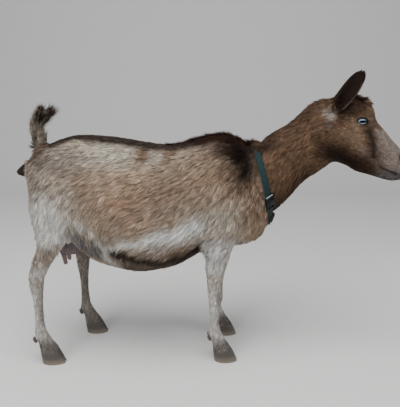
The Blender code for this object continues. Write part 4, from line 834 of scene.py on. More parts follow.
def tone_of(points):
    """The coat's colour at places on the skin."""
    ragged = points.copy()
    for axis, seed in ((0, 3), (2, 4)):
        ragged[:, axis] += 0.0050 * wave(points, 0.045, seed) + 0.0022 * wave(points, 0.014, seed + 5)
    x, y, z = ragged.T
    flat = ragged[:, [0, 2]]
    forward = x + 0.30 * (z - 0.45)
    colour = laid_over(np.tile(np.array(FAWN), (len(points), 1)), BROWN, step_up(forward, 0.112, 0.160))
    colour = side_marks(ragged, colour, MARKS, BANDS)
    on_top = step_up(0.058 - np.abs(y), 0.0, 0.024) * step_up(z, 0.504, 0.522)
    spine = on_top * step_up(x, -0.39, -0.34) * (1 - step_up(x, 0.14, 0.20))
    withers = bell(x, 0.088, 0.045, power=4) * step_up(z, 0.522, 0.538)
    belly = step_up(0.055 - np.abs(y), 0.0, 0.02) * step_up(0.265 - z, 0.0, 0.02) * (np.abs(x + 0.1) < 0.16)
    neck = step_up(forward, 0.130, 0.180)
    throat = neck * bell(line_distance(flat, np.array(THROAT_LINE)), 0.030)
    nape = neck * bell(line_distance(flat, np.array(NAPE_LINE)), 0.020)
    low_leg = step_up(0.235 - z, 0.0, 0.06) * (np.abs(y) > 0.035)
    shin = low_leg * bell(z, 0.060, 0.150) * step_up(x - np.where(x > -0.2, 0.034, -0.392), 0.0, 0.015)
    pastern = step_up(0.075 - z, 0.0, 0.03)
    far_hind = step_up(y, 0.02, 0.05) * step_up(0.30 - z, 0.0, 0.06) * (x < -0.2)
    rear = step_up(-x, 0.405, 0.425) * (z < 0.505)
    for tint, weight in (
        (PITCH, 0.94 * spine), (SABLE, 0.96 * withers), (CHOCOLATE, 0.85 * belly), (CHOCOLATE, 0.85 * throat),
        (CHOCOLATE, 0.75 * nape), (SILVER, 0.70 * low_leg), (BROWN, 0.55 * shin), (CHOCOLATE, 0.75 * pastern),
        (ASH, 0.70 * far_hind), (BLACK_SKIN, 0.95 * rear), (OLIVE, 0.9 * is_tail(ragged)),
    ):
        colour = laid_over(colour, tint, weight)
    face = face_tone(world_to_head(points), world_to_head(ragged))
    return blend(colour, face, is_head(points)[:, None])


# Materials

def add(tree, kind, values=(), **settings):
    """A new node with its settings and the values of its sockets."""
    node = tree.nodes.new(kind)
    for name, value in settings.items():
        setattr(node, name, value)
    for socket, value in dict(values).items():
        node.inputs[socket].default_value = value
    return node


def wire(tree, *rows):
    """Links: from a node's output to a node's input."""
    for start, out, end, into in rows:
        tree.links.new(start.outputs[out], end.inputs[into])


def add_sockets(tree, way, *rows):
    for name, kind, value in rows:
        socket = tree.interface.new_socket(name=name, in_out=way, socket_type="NodeSocket" + kind)
        if value is not None:
            socket.default_value = value


def new_material(name):
    paint = bpy.data.materials.new(name)
    paint.use_nodes = True
    return paint, paint.node_tree, paint.node_tree.nodes["Principled BSDF"]


def grain_of(paint):
    return next(node for node in paint.node_tree.nodes if node.type == "GROUP")


def grain_group():
    """Fine uneven grain that follows the object's own coordinates."""
    group = bpy.data.node_groups.get("fine grain")
    if group:
        return group
    group = bpy.data.node_groups.new("fine grain", "ShaderNodeTree")
    add_sockets(group, "INPUT", ("Colour", "Color", None), ("Place", "Vector", None),
                ("Scale", "Float", 300.0), ("Contrast", "Float", 0.3), ("Relief", "Float", 0.3))
    add_sockets(group, "OUTPUT", ("Colour", "Color", None), ("Mask", "Float", None),
                ("Normal", "Vector", None))
    enter, leave = add(group, "NodeGroupInput"), add(group, "NodeGroupOutput")
    noise = add(group, "ShaderNodeTexNoise", {"Detail": 3.0, "Roughness": 0.6})
    spread = add(group, "ShaderNodeMapRange", {"From Min": 0.3, "From Max": 0.7})
    centred = add(group, "ShaderNodeMath", {1: 0.5}, operation="SUBTRACT")
    scaled = add(group, "ShaderNodeMath", {2: 1.0}, operation="MULTIPLY_ADD")
    tint = add(group, "ShaderNodeVectorMath", operation="SCALE")
    relief = add(group, "ShaderNodeBump", {"Distance": 0.0008})
    wire(group, (enter, "Place", noise, "Vector"), (enter, "Scale", noise, "Scale"),
         (noise, "Fac", spread, "Value"),
         (spread, "Result", centred, 0), (centred, 0, scaled, 0), (enter, "Contrast", scaled, 1),
         (enter, "Colour", tint, 0), (scaled, 0, tint, "Scale"), (enter, "Relief", relief, "Strength"),
         (spread, "Result", relief, "Height"), (tint, 0, leave, "Colour"), (spread, "Result", leave, "Mask"),
         (relief, 0, leave, "Normal"))
    return group


def finish_material(name, colour, roughness, scale, contrast, relief, specular=0.5, coat=0.0, tone=False,
                    strands=False):
    """A principled material whose colour, roughness and relief vary with the shared grain."""
    found = bpy.data.materials.get(name)
    if found:
        return found
    paint, tree, shader = new_material(name)
    paint.diffuse_color = (*colour, 1.0)
    shader.inputs["Specular IOR Level"].default_value = specular
    shader.inputs["Coat Weight"].default_value = coat
    grain = add(tree, "ShaderNodeGroup", node_tree=grain_group())
    for socket, value in (("Scale", scale), ("Contrast", contrast), ("Relief", relief),
                          ("Colour", (*colour, 1.0))):
        grain.inputs[socket].default_value = value
    if strands:
        own = add(tree, "ShaderNodeAttribute", attribute_name="strand")
        stretch = add(tree, "ShaderNodeVectorMath", {1: STRAND_GRAIN}, operation="MULTIPLY")
        wire(tree, (own, "Vector", stretch, 0), (stretch, 0, grain, "Place"))
    else:
        wire(tree, (add(tree, "ShaderNodeTexCoord"), "Object", grain, "Place"))
    if tone:
        wire(tree, (add(tree, "ShaderNodeAttribute", attribute_name="tone"), "Color", grain, "Colour"))
    wear = add(tree, "ShaderNodeMapRange", {"To Min": max(roughness - WEAR, 0.02),
                                            "To Max": min(roughness + WEAR, 1.0)})
    wire(tree, (grain, "Colour", shader, "Base Color"), (grain, "Normal", shader, "Normal"),
         (grain, "Mask", wear, "Value"), (wear, "Result", shader, "Roughness"))
    return paint


def tone_layer(obj, colours):
    layer = obj.data.color_attributes.new(name="tone", type="FLOAT_COLOR", domain="POINT")
    values = np.ones((len(colours), 4), np.float32)
    values[:, :3] = colours
    layer.data.foreach_set("color", values.ravel())


def finished(obj, paint, slot, *nodes):
    """Moves a piece into the frame's place, gives it its material and fixes it to the body."""
    set_points(obj, points_of(obj) + np.array([shift_x(), 0.0, 0.0]))
    obj.data.materials.clear()
    obj.data.materials.append(paint)
    obj.data.polygons.foreach_set("use_smooth", np.ones(len(obj.data.polygons), bool))
    obj.data.update()
    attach(obj, "root")
    if nodes:
        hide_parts(*nodes)
    return obj


# The skin

def leg_shape(name, side, forward, around, steps):
    rows = []
    for z, front, back, middle, half, power in HIND if "hind" in name else FORE:
        shift = forward * step_up(0.37 - z, 0.0, 0.16)
        rows.append((front + shift, z, back + shift, z, side * middle, half, 0.5, power))
    return loft(rows, around, steps)


def upright(rows):
    """Sections of a body whose slices stand upright on the middle plane."""
    return [(at, top, at, bottom, 0.0, half, wide, power) for at, top, bottom, half, wide, power in rows]


def body_shapes():
    neck = [(a, b, c, d, neck_y((a + c) / 2), half, wide, power) for a, b, c, d, half, wide, power in NECK]
    tail = [(fx, fz, bx, bz, 0.0, half, 0.5, 2.0) for fx, fz, bx, bz, half in TAIL]
    shapes = [loft(upright(TRUNK), 56, 3), loft(neck, 44, 3), loft(upright(HEAD), 48, 3, head_to_world),
              loft(tail, 24, 3), loft(VULVA, 20, 2)]
    return shapes + [leg_shape(name, side, forward, 28, 3) for name, side, forward in LEGS]


def worked(body, points, local, strokes):
    """Raises or sinks the surface round each stroke, on both sides."""
    normals = normals_of(body)
    moved = np.zeros_like(points)
    for centre, reach, amount in strokes:
        for side in SIDES:
            away = (local - mirrored(centre, side)) / np.array(reach)
            moved += normals * (amount * np.exp(-(away**2).sum(axis=1)))[:, None]
    set_points(body, points + moved)
    return points + moved


def nostril_shape(side, local):
    """Distance from a nostril's slanted opening: 1 at its edge, less inside it."""
    away = local - mirrored(NOSTRIL, side)
    out = unit([0.62, 0.77 * side, 0.14])
    long = across_to([-0.74, 0.42 * side, 0.40], out)
    across = np.cross(out, long)
    u, v = away @ long, away @ across
    bend = v - NOSTRIL_BEND * u * u * np.sign(across[2])
    edge = np.hypot(u / NOSTRIL_HALF_LENGTH, bend / NOSTRIL_HALF_WIDTH)
    return np.where(np.abs(away @ out) < 0.018, edge, 9.0)


def lid_detail(side, local):
    """How far the skin round an eye moves out from the eye's middle, and in which direction."""
    edge, distance, away = lid_edge(side, local)
    out, _, up = eye_axes(side)
    flat = np.sqrt(np.maximum(distance**2 - (away @ out) ** 2, 0.0))
    near = bell(flat, 0.0190, power=6) * (away @ out > 0.25 * distance) * (distance < 0.035)
    target = LID_RADIUS - distance
    mound = np.maximum(target, 0.0) + np.minimum(target, 0.0) * bell(flat, 0.0120, power=4)
    opened = 1 - step_up(edge, 0.86, 1.18)
    depth = (SOCKET_RADIUS - distance) * opened * near + mound * near * (1 - opened)
    crease = bell(edge, 0.55, 2.6) * (away @ up > 0.001) * near
    fold = bell(edge, 0.35, 1.55) * near
    under = bell(edge, 0.6, 3.0) * (away @ up < -0.002) * near
    return away / distance[:, None] * (depth + 0.0004 * fold - 0.0011 * crease - 0.0007 * under)[:, None]


def face_detail(points, normals):
    """Lids, nostrils and mouth worked into the fine skin of the head."""
    local = world_to_head(points)
    sunk = np.zeros(len(local))
    moved = np.zeros_like(local)
    for side in SIDES:
        moved += lid_detail(side, local)
        rim = nostril_shape(side, local)
        sunk += 0.0085 * bell(rim, 0.90, power=3.2) - 0.0013 * bell(rim, 0.40, 1.55)
    gap = line_distance(local[:, [0, 2]], spline(MOUTH, 5))
    lip = np.where(local[:, 2] < -0.043, 0.0009, 0.00054) * bell(gap, 0.0020, 0.0038)
    sunk += step_up(local[:, 0], 0.096, 0.112) * (0.0026 * bell(gap, 0.0013) - lip)
    split = bell(local[:, 1], 0.0011) * step_up(local[:, 0], 0.148, 0.156)
    sunk += 0.0014 * split * (local[:, 2] > -0.040) * (local[:, 2] < -0.012)
    inward = -world_to_head(normals + head_to_world(np.zeros(3)))
    return head_to_world(local + moved + inward * sunk[:, None])


def ear_rows(side):
    """Axis, facing and across directions of an ear, its sections from root to tip, and its root."""
    axis = unit([0.00, 0.46 * side, 0.89])
    face = across_to([0.42, 0.80 * side, -0.40], axis)
    return axis, face, np.cross(axis, face), spline(EAR, 4), mirrored(EAR_ROOT, side)


def ear_section(sections, part):
    return (np.interp(part, sections[:, 0], sections[:, column]) for column in (1, 2, 3))


def ear_point(part, turn_share, data):
    axis, face, across, sections, root = data
    radius, turn, lean = ear_section(sections, part)
    angle = np.radians(turn) * turn_share
    spine = root + axis * (EAR_LENGTH * (part - EAR_SUNK)) + face * (lean - EAR_BACK)
    return spine + radius * (across * math.sin(angle) + face * (1 - math.cos(angle)))


def ear_shape(side):
    """A thin closed cup of even thickness."""
    data = ear_rows(side)
    levels, columns = 36, 29
    grid = [ear_point(level / (levels - 1), 2 * step / (columns - 1) - 1, data)
            for level in range(levels) for step in range(columns)]
    faces = []
    for level in range(levels - 1):
        for step in range(columns - 1):
            low = level * columns + step
            faces.append((low, low + 1, low + columns + 1, low + columns))
    obj = mesh_object(f"ear_form_{side}", head_to_world(grid), faces)
    shell = obj.modifiers.new("shell", "SOLIDIFY")
    shell.thickness = 0.0022
    shell.offset = 0.0
    edit_mesh(baked(obj), lambda work: bmesh.ops.recalc_face_normals(work, faces=work.faces))
    return obj


def wedge(name, toe, reach, heights, sides):
    """A block at a foot, between two upright planes, whose top slopes up towards the toe."""
    bottom, heel, front = heights
    outline = ((toe - reach, bottom), (toe - reach, heel), (toe + reach, front), (toe + reach, bottom))
    ends = [np.array([(x, y, z) for x, z in outline]) for y in sorted(sides)]
    return mesh_object(name, *skin_of_rings(ends))


def surface_of(obj):
    return BVHTree.FromPolygons(points_of(obj).tolist(), [tuple(face.vertices) for face in obj.data.polygons])


def finer(body, points, wanted, rounds):
    """Finer faces at the wanted places of the head, evened out."""
    points = refined(body, wanted & (points[:, 0] > HEAD_FROM))
    points = smoothed(points, edges_of(body), rounds, is_head(points))
    set_points(body, points)
    return points


def build_skin(settings):
    body = remeshed(mesh_object("skin", *joined(body_shapes())), settings.skin_grid)
    pairs = edges_of(body)
    rounds = int(110 * (0.0023 / settings.skin_grid) ** 2)
    points = settled(smoothed(points_of(body), pairs, 5), pairs, rounds)
    set_points(body, points)
    points = finer(body, points, is_head(points) > 0.5, 4)
    local = world_to_head(points)
    wanted = (mouth_distance(local) < 0.0065) & (local[:, 0] > 0.088)
    for side in SIDES:
        wanted |= (lid_edge(side, local)[1] < 0.0235) | (nostril_shape(side, local) < 3.0)
    points = finer(body, points, wanted, 3)
    points = worked(body, points, points, TRUNK_STROKES)
    points = worked(body, points, world_to_head(points), HEAD_STROKES)
    made["outer"] = surface_of(body)
    points = points - normals_of(body) * coat_depth(points)[:, None]
    set_points(body, points)
    points = face_detail(points, normals_of(body))
    local = world_to_head(points)
    near = np.zeros(len(points), bool)
    for side in SIDES:
        near |= (lid_edge(side, local)[1] < 0.022) | (nostril_shape(side, local) < 2.5)
    set_points(body, smoothed(points, edges_of(body), 2, near * 0.8))
    made["bare body"] = surface_of(body)
    for side in SIDES:
        combined(body, ear_shape(side), "UNION")
    for name, side, forward in LEGS:
        toe = (HIND_TOE if "hind" in name else FORE_TOE) + forward
        room = wedge("sole_cut", toe, 0.09, (-0.05, 0.0075, 0.0487), (side * 0.03, side * 0.16))
        combined(body, room, "DIFFERENCE")
    triangulated(body)
    return body


def ear_place(points):
    """For points on an ear: its side, part from root to tip, share round the cup, and height over the cup."""
    local = world_to_head(points)
    result = np.zeros((len(points), 4))
    for side in SIDES:
        axis, face, across, sections, root = ear_rows(side)
        away = local - root
        part = (away @ axis) / EAR_LENGTH + EAR_SUNK
        radius, turn, lean = ear_section(sections, part)
        from_spine = away - np.outer(away @ axis, axis)
        u = from_spine @ across
        v = radius - (from_spine @ face - (lean - EAR_BACK))
        reach = np.hypot(u, v)
        angle = np.degrees(np.arctan2(u, v))
        on = (np.abs(reach - radius) < 0.0028) & (np.abs(angle) < turn + 8) & (part > 0.02) & (part < 1.06)
        on &= away @ axis > 0.012
        place = np.column_stack([np.full(len(points), side), part, angle / np.maximum(turn, 1.0),
                                 reach - radius])
        result[on] = place[on]
    return result


# The coat

def drawn(places, rows, reach):
    """Directions on the side, each place taking after the rows near it."""
    way = np.zeros((len(places), 2))
    for u, v, du, dv in rows:
        weight = np.exp(-(((places - np.array([u, v])) / reach) ** 2).sum(axis=1)) + 1e-9
        way += weight[:, None] * np.array([du, dv])
    return unit(way)


def flow_of(points, normals):
    """Direction in which the hair lies, along the skin."""
    y = points[:, 1]
    way = drawn(points[:, [0, 2]], LIE, 0.052)
    parted = 0.35 * np.clip(normals[:, 2], 0, 1) * (np.abs(y) > 0.004) - 0.30 * np.clip(-normals[:, 2], 0, 1)
    flow = np.column_stack([way[:, 0], np.sign(y) * parted, way[:, 1]])
    low = step_up(0.31 - points[:, 2], 0.0, 0.05) * step_up(np.abs(y), 0.035, 0.05)
    flow = blend(flow, np.array([-0.10, 0.0, -1.0]), low[:, None])
    local = world_to_head(points)
    way = drawn(local[:, [0, 2]], HEAD_LIE, 0.026)
    parted = 0.25 * np.sign(local[:, 1]) * step_up(np.abs(local[:, 1]), 0.002, 0.01)
    face = head_direction(np.column_stack([way[:, 0], parted, way[:, 1]]))
    flow = blend(flow, face, is_head(points)[:, None])
    flow = blend(flow, np.array([-0.02, 0.0, 1.0]), is_tail(points)[:, None])
    ears = ear_place(points)
    for side in SIDES:
        flow[ears[:, 0] == side] = head_direction(ear_rows(side)[0])
    swirl = np.column_stack([wave(points, 0.035, seed) for seed in (21, 22, 23)])
    return across_to(flow + 0.16 * swirl, normals)


def coat_plan(points, normals):
    """Length, width, spacing, lift, depth and direction of the tufts at places on the skin."""
    local = world_to_head(points)
    x, y, z = points.T
    muzzle = step_up(local[:, 0], 0.03, 0.12)
    leg = step_up(0.285 - z, 0.0, 0.07) * step_up(np.abs(y), 0.035, 0.05)
    head = is_head(points)
    length = 0.0225 + 0.0050 * bell(x, 0.06, -0.35) * bell(z, 0.07, 0.36) - 0.0030 * step_up(x, 0.10, 0.16)
    length += 0.0030 * step_up(0.34 - z, 0.0, 0.06) * (np.abs(x + 0.1) < 0.17)
    length = blend(blend(length, 0.0105, leg), 0.0092 - 0.0050 * muzzle, head)
    width = blend(0.00108 - 0.00036 * leg, 0.00072 - 0.00030 * muzzle, head)
    spacing = blend(0.00192 - 0.0005 * leg, 0.00122 - 0.00034 * muzzle, head)
    for side in SIDES:
        near = 1 - step_up(lid_edge(side, local)[1], 0.018, 0.030)
        length = length * (1 - 0.60 * near)
        width = width * (1 - 0.40 * near)
        spacing = spacing * (1 - 0.30 * near)
    nape = bell(x, 0.034, 0.292) * step_up(z - 0.9 * x, 0.325, 0.350)
    length = blend(length + 0.006 * nape, 0.0035, step_up(-x, 0.405, 0.42) * (z < 0.505) * (z > 0.43))
    ears = ear_place(points)
    on = ears[:, 0] != 0
    length = np.where(on, 0.0075, length)
    width = np.where(on, 0.00060, width)
    spacing = np.where(on, 0.00130, spacing)
    spacing = np.where(on & (ears[:, 3] < 0) & (np.abs(ears[:, 2]) < 0.75), 0.0030, spacing)
    offset = np.abs(collar_offset(points))
    length = np.where(offset < 0.020, length * (0.50 + 0.50 * offset / 0.020), length)
    depth = np.where(on, 0.0013, coat_depth(points))
    return length, width, spacing, 0.95 + 1.0 * nape, depth, flow_of(points, normals)


def is_bare(points):
    """Places without hair: inside the lids, nostrils and mouth, on the nose, under the collar, on horn."""
    local = world_to_head(points)
    bare = np.abs(collar_offset(points)) < 0.0015
    for side in SIDES:
        edge, distance = lid_edge(side, local)[:2]
        bare |= (edge < 1.30) & (distance < 0.020)
        bare |= nostril_shape(side, local) < 1.15
    bare |= (mouth_distance(local) < 0.0011) & (local[:, 0] > 0.102)
    bare |= (local[:, 0] > 0.155) & (np.abs(local[:, 1]) < 0.0075) & (local[:, 2] > -0.034)
    bare |= (points[:, 2] < 0.075) & (coronet_height(points) < 0.002)
    return bare | ((points[:, 0] < -0.437) & (points[:, 2] < 0.49))


def roots_on(obj, fields, spacing, budget, seed):
    """Even random places on the skin, as many as fit the spacing, with the fields' values there."""
    chance = np.random.default_rng(seed)
    corners = read_field(obj.data.polygons, "vertices", 3, np.int32)
    points = points_of(obj)
    a, b, c = (points[corners[:, n]] for n in range(3))
    weight = 0.5 * np.linalg.norm(np.cross(b - a, c - a), axis=1) / spacing[corners].mean(axis=1) ** 2
    order = np.lexsort((a[:, 2] // 0.01, a[:, 0] // 0.01))
    total = np.cumsum(weight[order])
    count = int(min(budget, total[-1]))
    spots = (np.arange(count) + chance.uniform(0, 1, count)) / count * total[-1]
    face = order[np.minimum(np.searchsorted(total, spots), len(order) - 1)]
    u, v = chance.uniform(0, 1, count), chance.uniform(0, 1, count)
    over = u + v > 1
    u[over], v[over] = 1 - u[over], 1 - v[over]
    share = np.column_stack([1 - u - v, u, v])

    def mixed(values):
        return (values[corners[face]] * share.reshape(count, 3, *([1] * (values.ndim - 1)))).sum(axis=1)

    return mixed(points), unit(mixed(normals_of(obj))), [mixed(field) for field in fields], chance


def chart_of(roots):
    """Place of each root on an unwrap of the skin, made of a strip for each part of the body."""
    local = world_to_head(roots)
    x, y, z = roots.T
    ears = ear_place(roots)
    on = ears[:, 0] != 0
    head = is_head(roots) > 0.5
    leg = (z < 0.29) & (np.abs(y) > 0.035) & (np.abs(x + 0.13) >= 0.09)
    hind = x < BETWEEN_LEGS
    spine_z = np.interp(x, *BODY_AXIS)
    leg_x = np.where(hind, -0.385, 0.038) + (y > 0) * np.where(hind, LEFT_HIND_FORWARD, LEFT_FORE_FORWARD)
    kinds = [on, head, leg]
    u = np.select(kinds, [ears[:, 1], (local[:, 0] + 0.10) / 0.28, z / 0.29], (x + 0.46) / 0.84)
    v = np.select(kinds, [ears[:, 2] / 2 + 0.5, np.arctan2(np.abs(local[:, 1]), local[:, 2] + 0.04) / math.pi,
                          np.arctan2(np.abs(y) - 0.078, x - leg_x) / (2 * math.pi) + 0.5],
                  np.arctan2(np.abs(y), z - spine_z) / math.pi)
    strip = np.select([on, head, leg & ~hind, leg], [0, 1, 2, 3], 4)
    low = np.array([0.01, 0.14, 0.34, 0.46, 0.58])[strip]
    high = np.array([0.13, 0.33, 0.45, 0.57, 0.99])[strip]
    half = np.where(y > 0, 0.495, 0.0)
    return np.column_stack([0.01 + 0.485 * np.clip(u, 0, 1) + half, blend(low, high, np.clip(v, 0, 1))])


def spindle_faces(each, around):
    """Triangles of one tuft: from its root point round its cross sections to its tip."""
    if around == 2:
        return [(0, 1, 2), (3, 2, 1), (0, 2, 3), (0, 3, 1)]
    faces, tip = [(0, 1, 2), (0, 2, 3), (0, 3, 1)], each - 1
    for low in range(1, tip - 3, 3):
        for step in range(3):
            near, far = low + step, low + (step + 1) % 3
            faces += [(near, near + 3, far), (far, near + 3, far + 3)]
    return faces + [(tip - 3, tip, tip - 2), (tip - 2, tip, tip - 1), (tip - 1, tip, tip - 3)]


def tuft_mesh(name, roots, normals, lie, sizes, colours, stations=SHORT_TUFT):
    """Closed spindles: a root point, cross sections of two or three points, and a tip."""
    length, width, rise, bend = sizes
    count = len(roots)
    across = np.cross(lie, normals)
    around = 2 if len(stations) == 1 else 3
    sideways = (0.5, -0.5) if around == 2 else (0.5, 0.0, -0.5)
    layers, along, offsets = [roots - normals * 0.0010], [0.0], [0.0]
    for part, share in stations:
        height = rise * (1 - (1 - part) ** 2)
        middle = (roots + lie * (length * part)[:, None] + normals * height[:, None]
                  + across * (bend * length * part**2)[:, None])
        for offset in sideways:
            thick = np.reshape(0.0002 if around == 2 else 0.42 * width * share * (offset == 0), (-1, 1))
            layers.append(middle + across * (width * share * offset)[:, None] + normals * thick)
        along += [part] * around
        offsets += [-offset for offset in sideways]
    layers.append(roots + lie * length[:, None] + normals * rise[:, None] + across * (bend * length)[:, None])
    along, offsets = np.array(along + [1.0]), np.array(offsets + [0.0])
    each = len(layers)
    points = np.stack(layers, axis=1).reshape(-1, 3)
    pattern = np.array(faced_out(points[:each], spindle_faces(each, around)))
    triangles = (pattern[None] + each * np.arange(count)[:, None, None]).reshape(-1, 3)
    obj = array_object(name, points, triangles)
    # Each tuft's tone darkens from tip to root: partly the hair's own banding, partly painted shade between
    # the hairs.
    tone_layer(obj, (colours[:, None, :] * (0.62 + 0.50 * along)[None, :, None]).reshape(-1, 3))
    if around == 2:
        soft = np.stack([normals, unit(normals + 0.7 * across), unit(normals - 0.7 * across),
                         unit(normals + 0.3 * lie)], axis=1)
        obj.data.normals_split_custom_set_from_vertices(soft.reshape(-1, 3).tolist())
    numbers = np.repeat(np.arange(count), each)
    strand = np.column_stack([np.tile(offsets, count), np.tile(along, count), numbers])
    layer = obj.data.attributes.new(name="strand", type="FLOAT_VECTOR", domain="POINT")
    layer.data.foreach_set("vector", strand.astype(np.float32).ravel())
    spots = chart_of(roots)[numbers] + BAKE_PATCH * (strand[:, :2] - np.array([0.0, 0.5]))
    chart = obj.data.uv_layers.new(name="OFBake")
    chart.data.foreach_set("uv", spots[triangles.ravel()].astype(np.float32).ravel())
    return obj


def hair_paint():
    return finish_material("coat hair", (0.2, 0.15, 0.11), 0.60, scale=1.0, contrast=0.55, relief=0.12,
                           specular=0.08, tone=True, strands=True)


def frosted(colours, chance, points):
    """Dark and pale hairs mixed into the coat, as real coats have."""
    count = len(colours)
    mottle = wave(points, 0.012, 31) * 0.06 + wave(points, 0.030, 32) * 0.05
    out = colours * np.exp(chance.normal(0, 0.20, count) + mottle)[:, None]
    pick = chance.uniform(0, 1, count)
    out = np.where((pick < 0.07)[:, None], out * 0.70, out)
    pale = (pick > 0.88) & (colours.mean(axis=1) > 0.11)
    out = np.where(pale[:, None], out * 0.78 + np.array(PALE) * 0.22, out)
    return np.clip(out, 0.002, 0.85)


def clumped(roots, normal, lie, length, chance):
    """Draws neighbouring tufts together, so that they lie in locks that share a tone and a direction."""
    count = len(roots)
    leaders = chance.permutation(count)[: count // TUFTS_PER_LOCK]
    tree = KDTree(len(leaders))
    for index, leader in enumerate(leaders):
        tree.insert(roots[leader], index)
    tree.balance()
    group = np.array([tree.find(root)[1] for root in roots])
    leader = leaders[group]
    swing = chance.normal(size=(len(leaders), 3))[group]
    target = roots[leader] + lie[leader] * (length * 1.05)[:, None] + 0.30 * (roots - roots[leader])
    way = unit(target - roots) + 0.11 * swing + 0.06 * chance.normal(size=(count, 3))
    tone = np.exp(chance.normal(0, 0.20, len(leaders)))[group]
    lift = chance.uniform(0.80, 1.10, len(leaders))[group]
    return across_to(way, normal), tone, lift


def tuft_colours(roots, tips, tone, chance):
    """The markings' colours with paler, darker and locked tufts, and the ears' own colours."""
    count = len(roots)
    colours = frosted(tone_of(tips), chance, roots) * tone[:, None]
    ears = ear_place(roots)
    on = ears[:, 0] != 0
    inner = on & (ears[:, 3] < 0.0) & (np.abs(ears[:, 2]) <= 0.90)
    for tint, low, high, where in ((CHOCOLATE, 0.8, 1.6, on), (SOOT, 1.1, 1.9, inner)):
        tones = np.array(tint) * chance.uniform(low, high, count)[:, None]
        colours = np.where(where[:, None], tones, colours)
    return colours


def coat_piece(roots):
    """The number of the coat piece that each root belongs to: even ones are the right side."""
    head = (ear_place(roots)[:, 0] != 0) | (is_head(roots) > 0.5)
    left = np.where(head, world_to_head(roots)[:, 1] > 0, roots[:, 1] > 0)
    return np.select([head, roots[:, 0] > 0.05, roots[:, 0] > -0.20], [0, 1, 2], 3) * 2 + left


def short_coat(skin, settings):
    points = points_of(skin)
    length, width, spacing, lift, depth, flow = coat_plan(points, normals_of(skin))
    spacing = np.where(is_bare(points), 1.0, spacing * settings.spacing)
    roots, normal, fields, chance = roots_on(skin, (length, width, lift, depth, flow), spacing, TUFT_BUDGET,
                                             settings.seed)
    keep = ~is_bare(roots)
    roots, normal, length, width, lift, depth, lie = (value[keep] for value in (roots, normal, *fields))
    count = len(roots)
    length = length * settings.length * chance.uniform(0.75, 1.20, count)
    width = width * chance.uniform(0.75, 1.30, count)
    lie, tone, lifted = clumped(roots, normal, lie, length, chance)
    rise = np.minimum(depth * lift * lifted * chance.uniform(0.50, 1.08, count), length * 0.55)
    offset = np.abs(collar_offset(roots))
    rise = np.where(offset < 0.026, np.minimum(rise, 0.0010 + 0.22 * np.maximum(offset - 0.007, 0.0)), rise)
    bend = chance.normal(0, 0.07, count)
    colours = tuft_colours(roots, roots + lie * (0.42 * length)[:, None], tone, chance)
    place = coat_piece(roots)
    for index in range(2 * len(COAT_PARTS)):
        here = np.flatnonzero(place == index)
        if len(here) > TUFTS_PER_PIECE:
            here = here[np.sort(chance.permutation(len(here))[:TUFTS_PER_PIECE])]
        name = f"coat_{COAT_PARTS[index // 2]}_{'left' if index % 2 else 'right'}"
        sizes = (length[here], width[here], rise[here], bend[here])
        obj = tuft_mesh(name, roots[here], normal[here], lie[here], sizes, colours[here])
        finished(obj, hair_paint(), "coat")


# Longer hair

def strand_mesh(name, locks, seed):
    """Strands that gather towards the tips of their locks."""
    chance = np.random.default_rng(seed)
    rows = []
    for root, lie, out, length, spread, count, width, rise, tint, meet in locks:
        lie = unit(lie)
        out = across_to(out, lie)
        across = np.cross(lie, out)
        share = chance.normal(0, 1, (count, 2)).clip(-2, 2)
        start = root + spread * (share[:, :1] * across + 0.45 * share[:, 1:] * lie)
        long = length * chance.uniform(0.68, 1.06, count)
        end = root + lie * length + out * rise + spread * (1 - meet) * share[:, :1] * across
        way = unit(end - start + 0.10 * length * chance.normal(size=(count, 3)))
        sizes = [long, width * chance.uniform(0.7, 1.3, count), rise * chance.uniform(0.2, 1.0, count) * 0.5,
                 chance.normal(0, 0.07, count)]
        shade = np.array(tint) * np.exp(chance.normal(0, 0.35, (count, 1)))
        rows.append((start, across_to(out, way), way, np.column_stack(sizes), shade))
    start, normal, way, sizes, tint = (np.vstack(part) for part in zip(*rows))
    obj = tuft_mesh(name, start, normal, way, tuple(sizes.T), np.clip(tint, 0.002, 0.7), LONG_TUFT)
    return finished(obj, hair_paint(), "coat" if name == "crest_hair" else "face_coat")


def drop_onto(tree, spot, way):
    """Where a line from a spot meets a surface, and the surface's direction there; nothing if it misses."""
    hit, normal = tree.ray_cast(Vector(spot), Vector(way))[:2]
    return (None, None) if hit is None else (np.array(hit), np.array(normal))


def tinted(tint, low, high, chance):
    return np.array(tint) * chance.uniform(low, high)


def crest_hair():
    """Upright hair on the withers, and hair of the nape that lies over the strap."""
    chance = np.random.default_rng(7)
    locks = []
    for index in range(CREST_LOCKS):
        part = (index + chance.uniform(-0.5, 0.5)) / CREST_LOCKS
        y = chance.normal(0, 0.0085)
        root, normal = drop_onto(made["bare body"], (0.140 - 0.210 * part, y, 0.8), (0, 0, -1))
        tall = math.sin(math.pi * min(max(0.15 + part, 0.0), 1.0)) ** 0.6
        lie = across_to([-1.0, 0.35 * np.sign(y) + chance.normal(0, 0.12), 0.0], normal)
        lie = lie + normal * (0.22 + 0.20 * tall) * chance.uniform(0.6, 1.2)
        tint = tinted(SABLE, 0.4, 1.8, chance)
        locks.append((root, lie, normal, chance.uniform(0.020, 0.030), 0.0028, 16, 0.0009, 0.002, tint, 0.5))
    normal, up = collar_axes()
    for _ in range(NAPE_LOCKS):
        turn = math.radians(chance.uniform(-30, 30))
        aim = up * math.cos(turn) + LEFTWARDS * math.sin(turn)
        spot = COLLAR_MIDDLE + normal * chance.uniform(0.0125, 0.024)
        root = drop_onto(made["bare body"], spot + aim * 0.2, -aim)[0]
        lie = -normal + aim * chance.uniform(0.26, 0.40) + 0.10 * chance.normal(size=3)
        tint = tinted(BROWN, 0.25, 0.9, chance)
        locks.append((root, lie, aim, chance.uniform(0.025, 0.034), 0.0028, 12, 0.0008, 0.002, tint, 0.4))
    return strand_mesh("crest_hair", locks, 17)


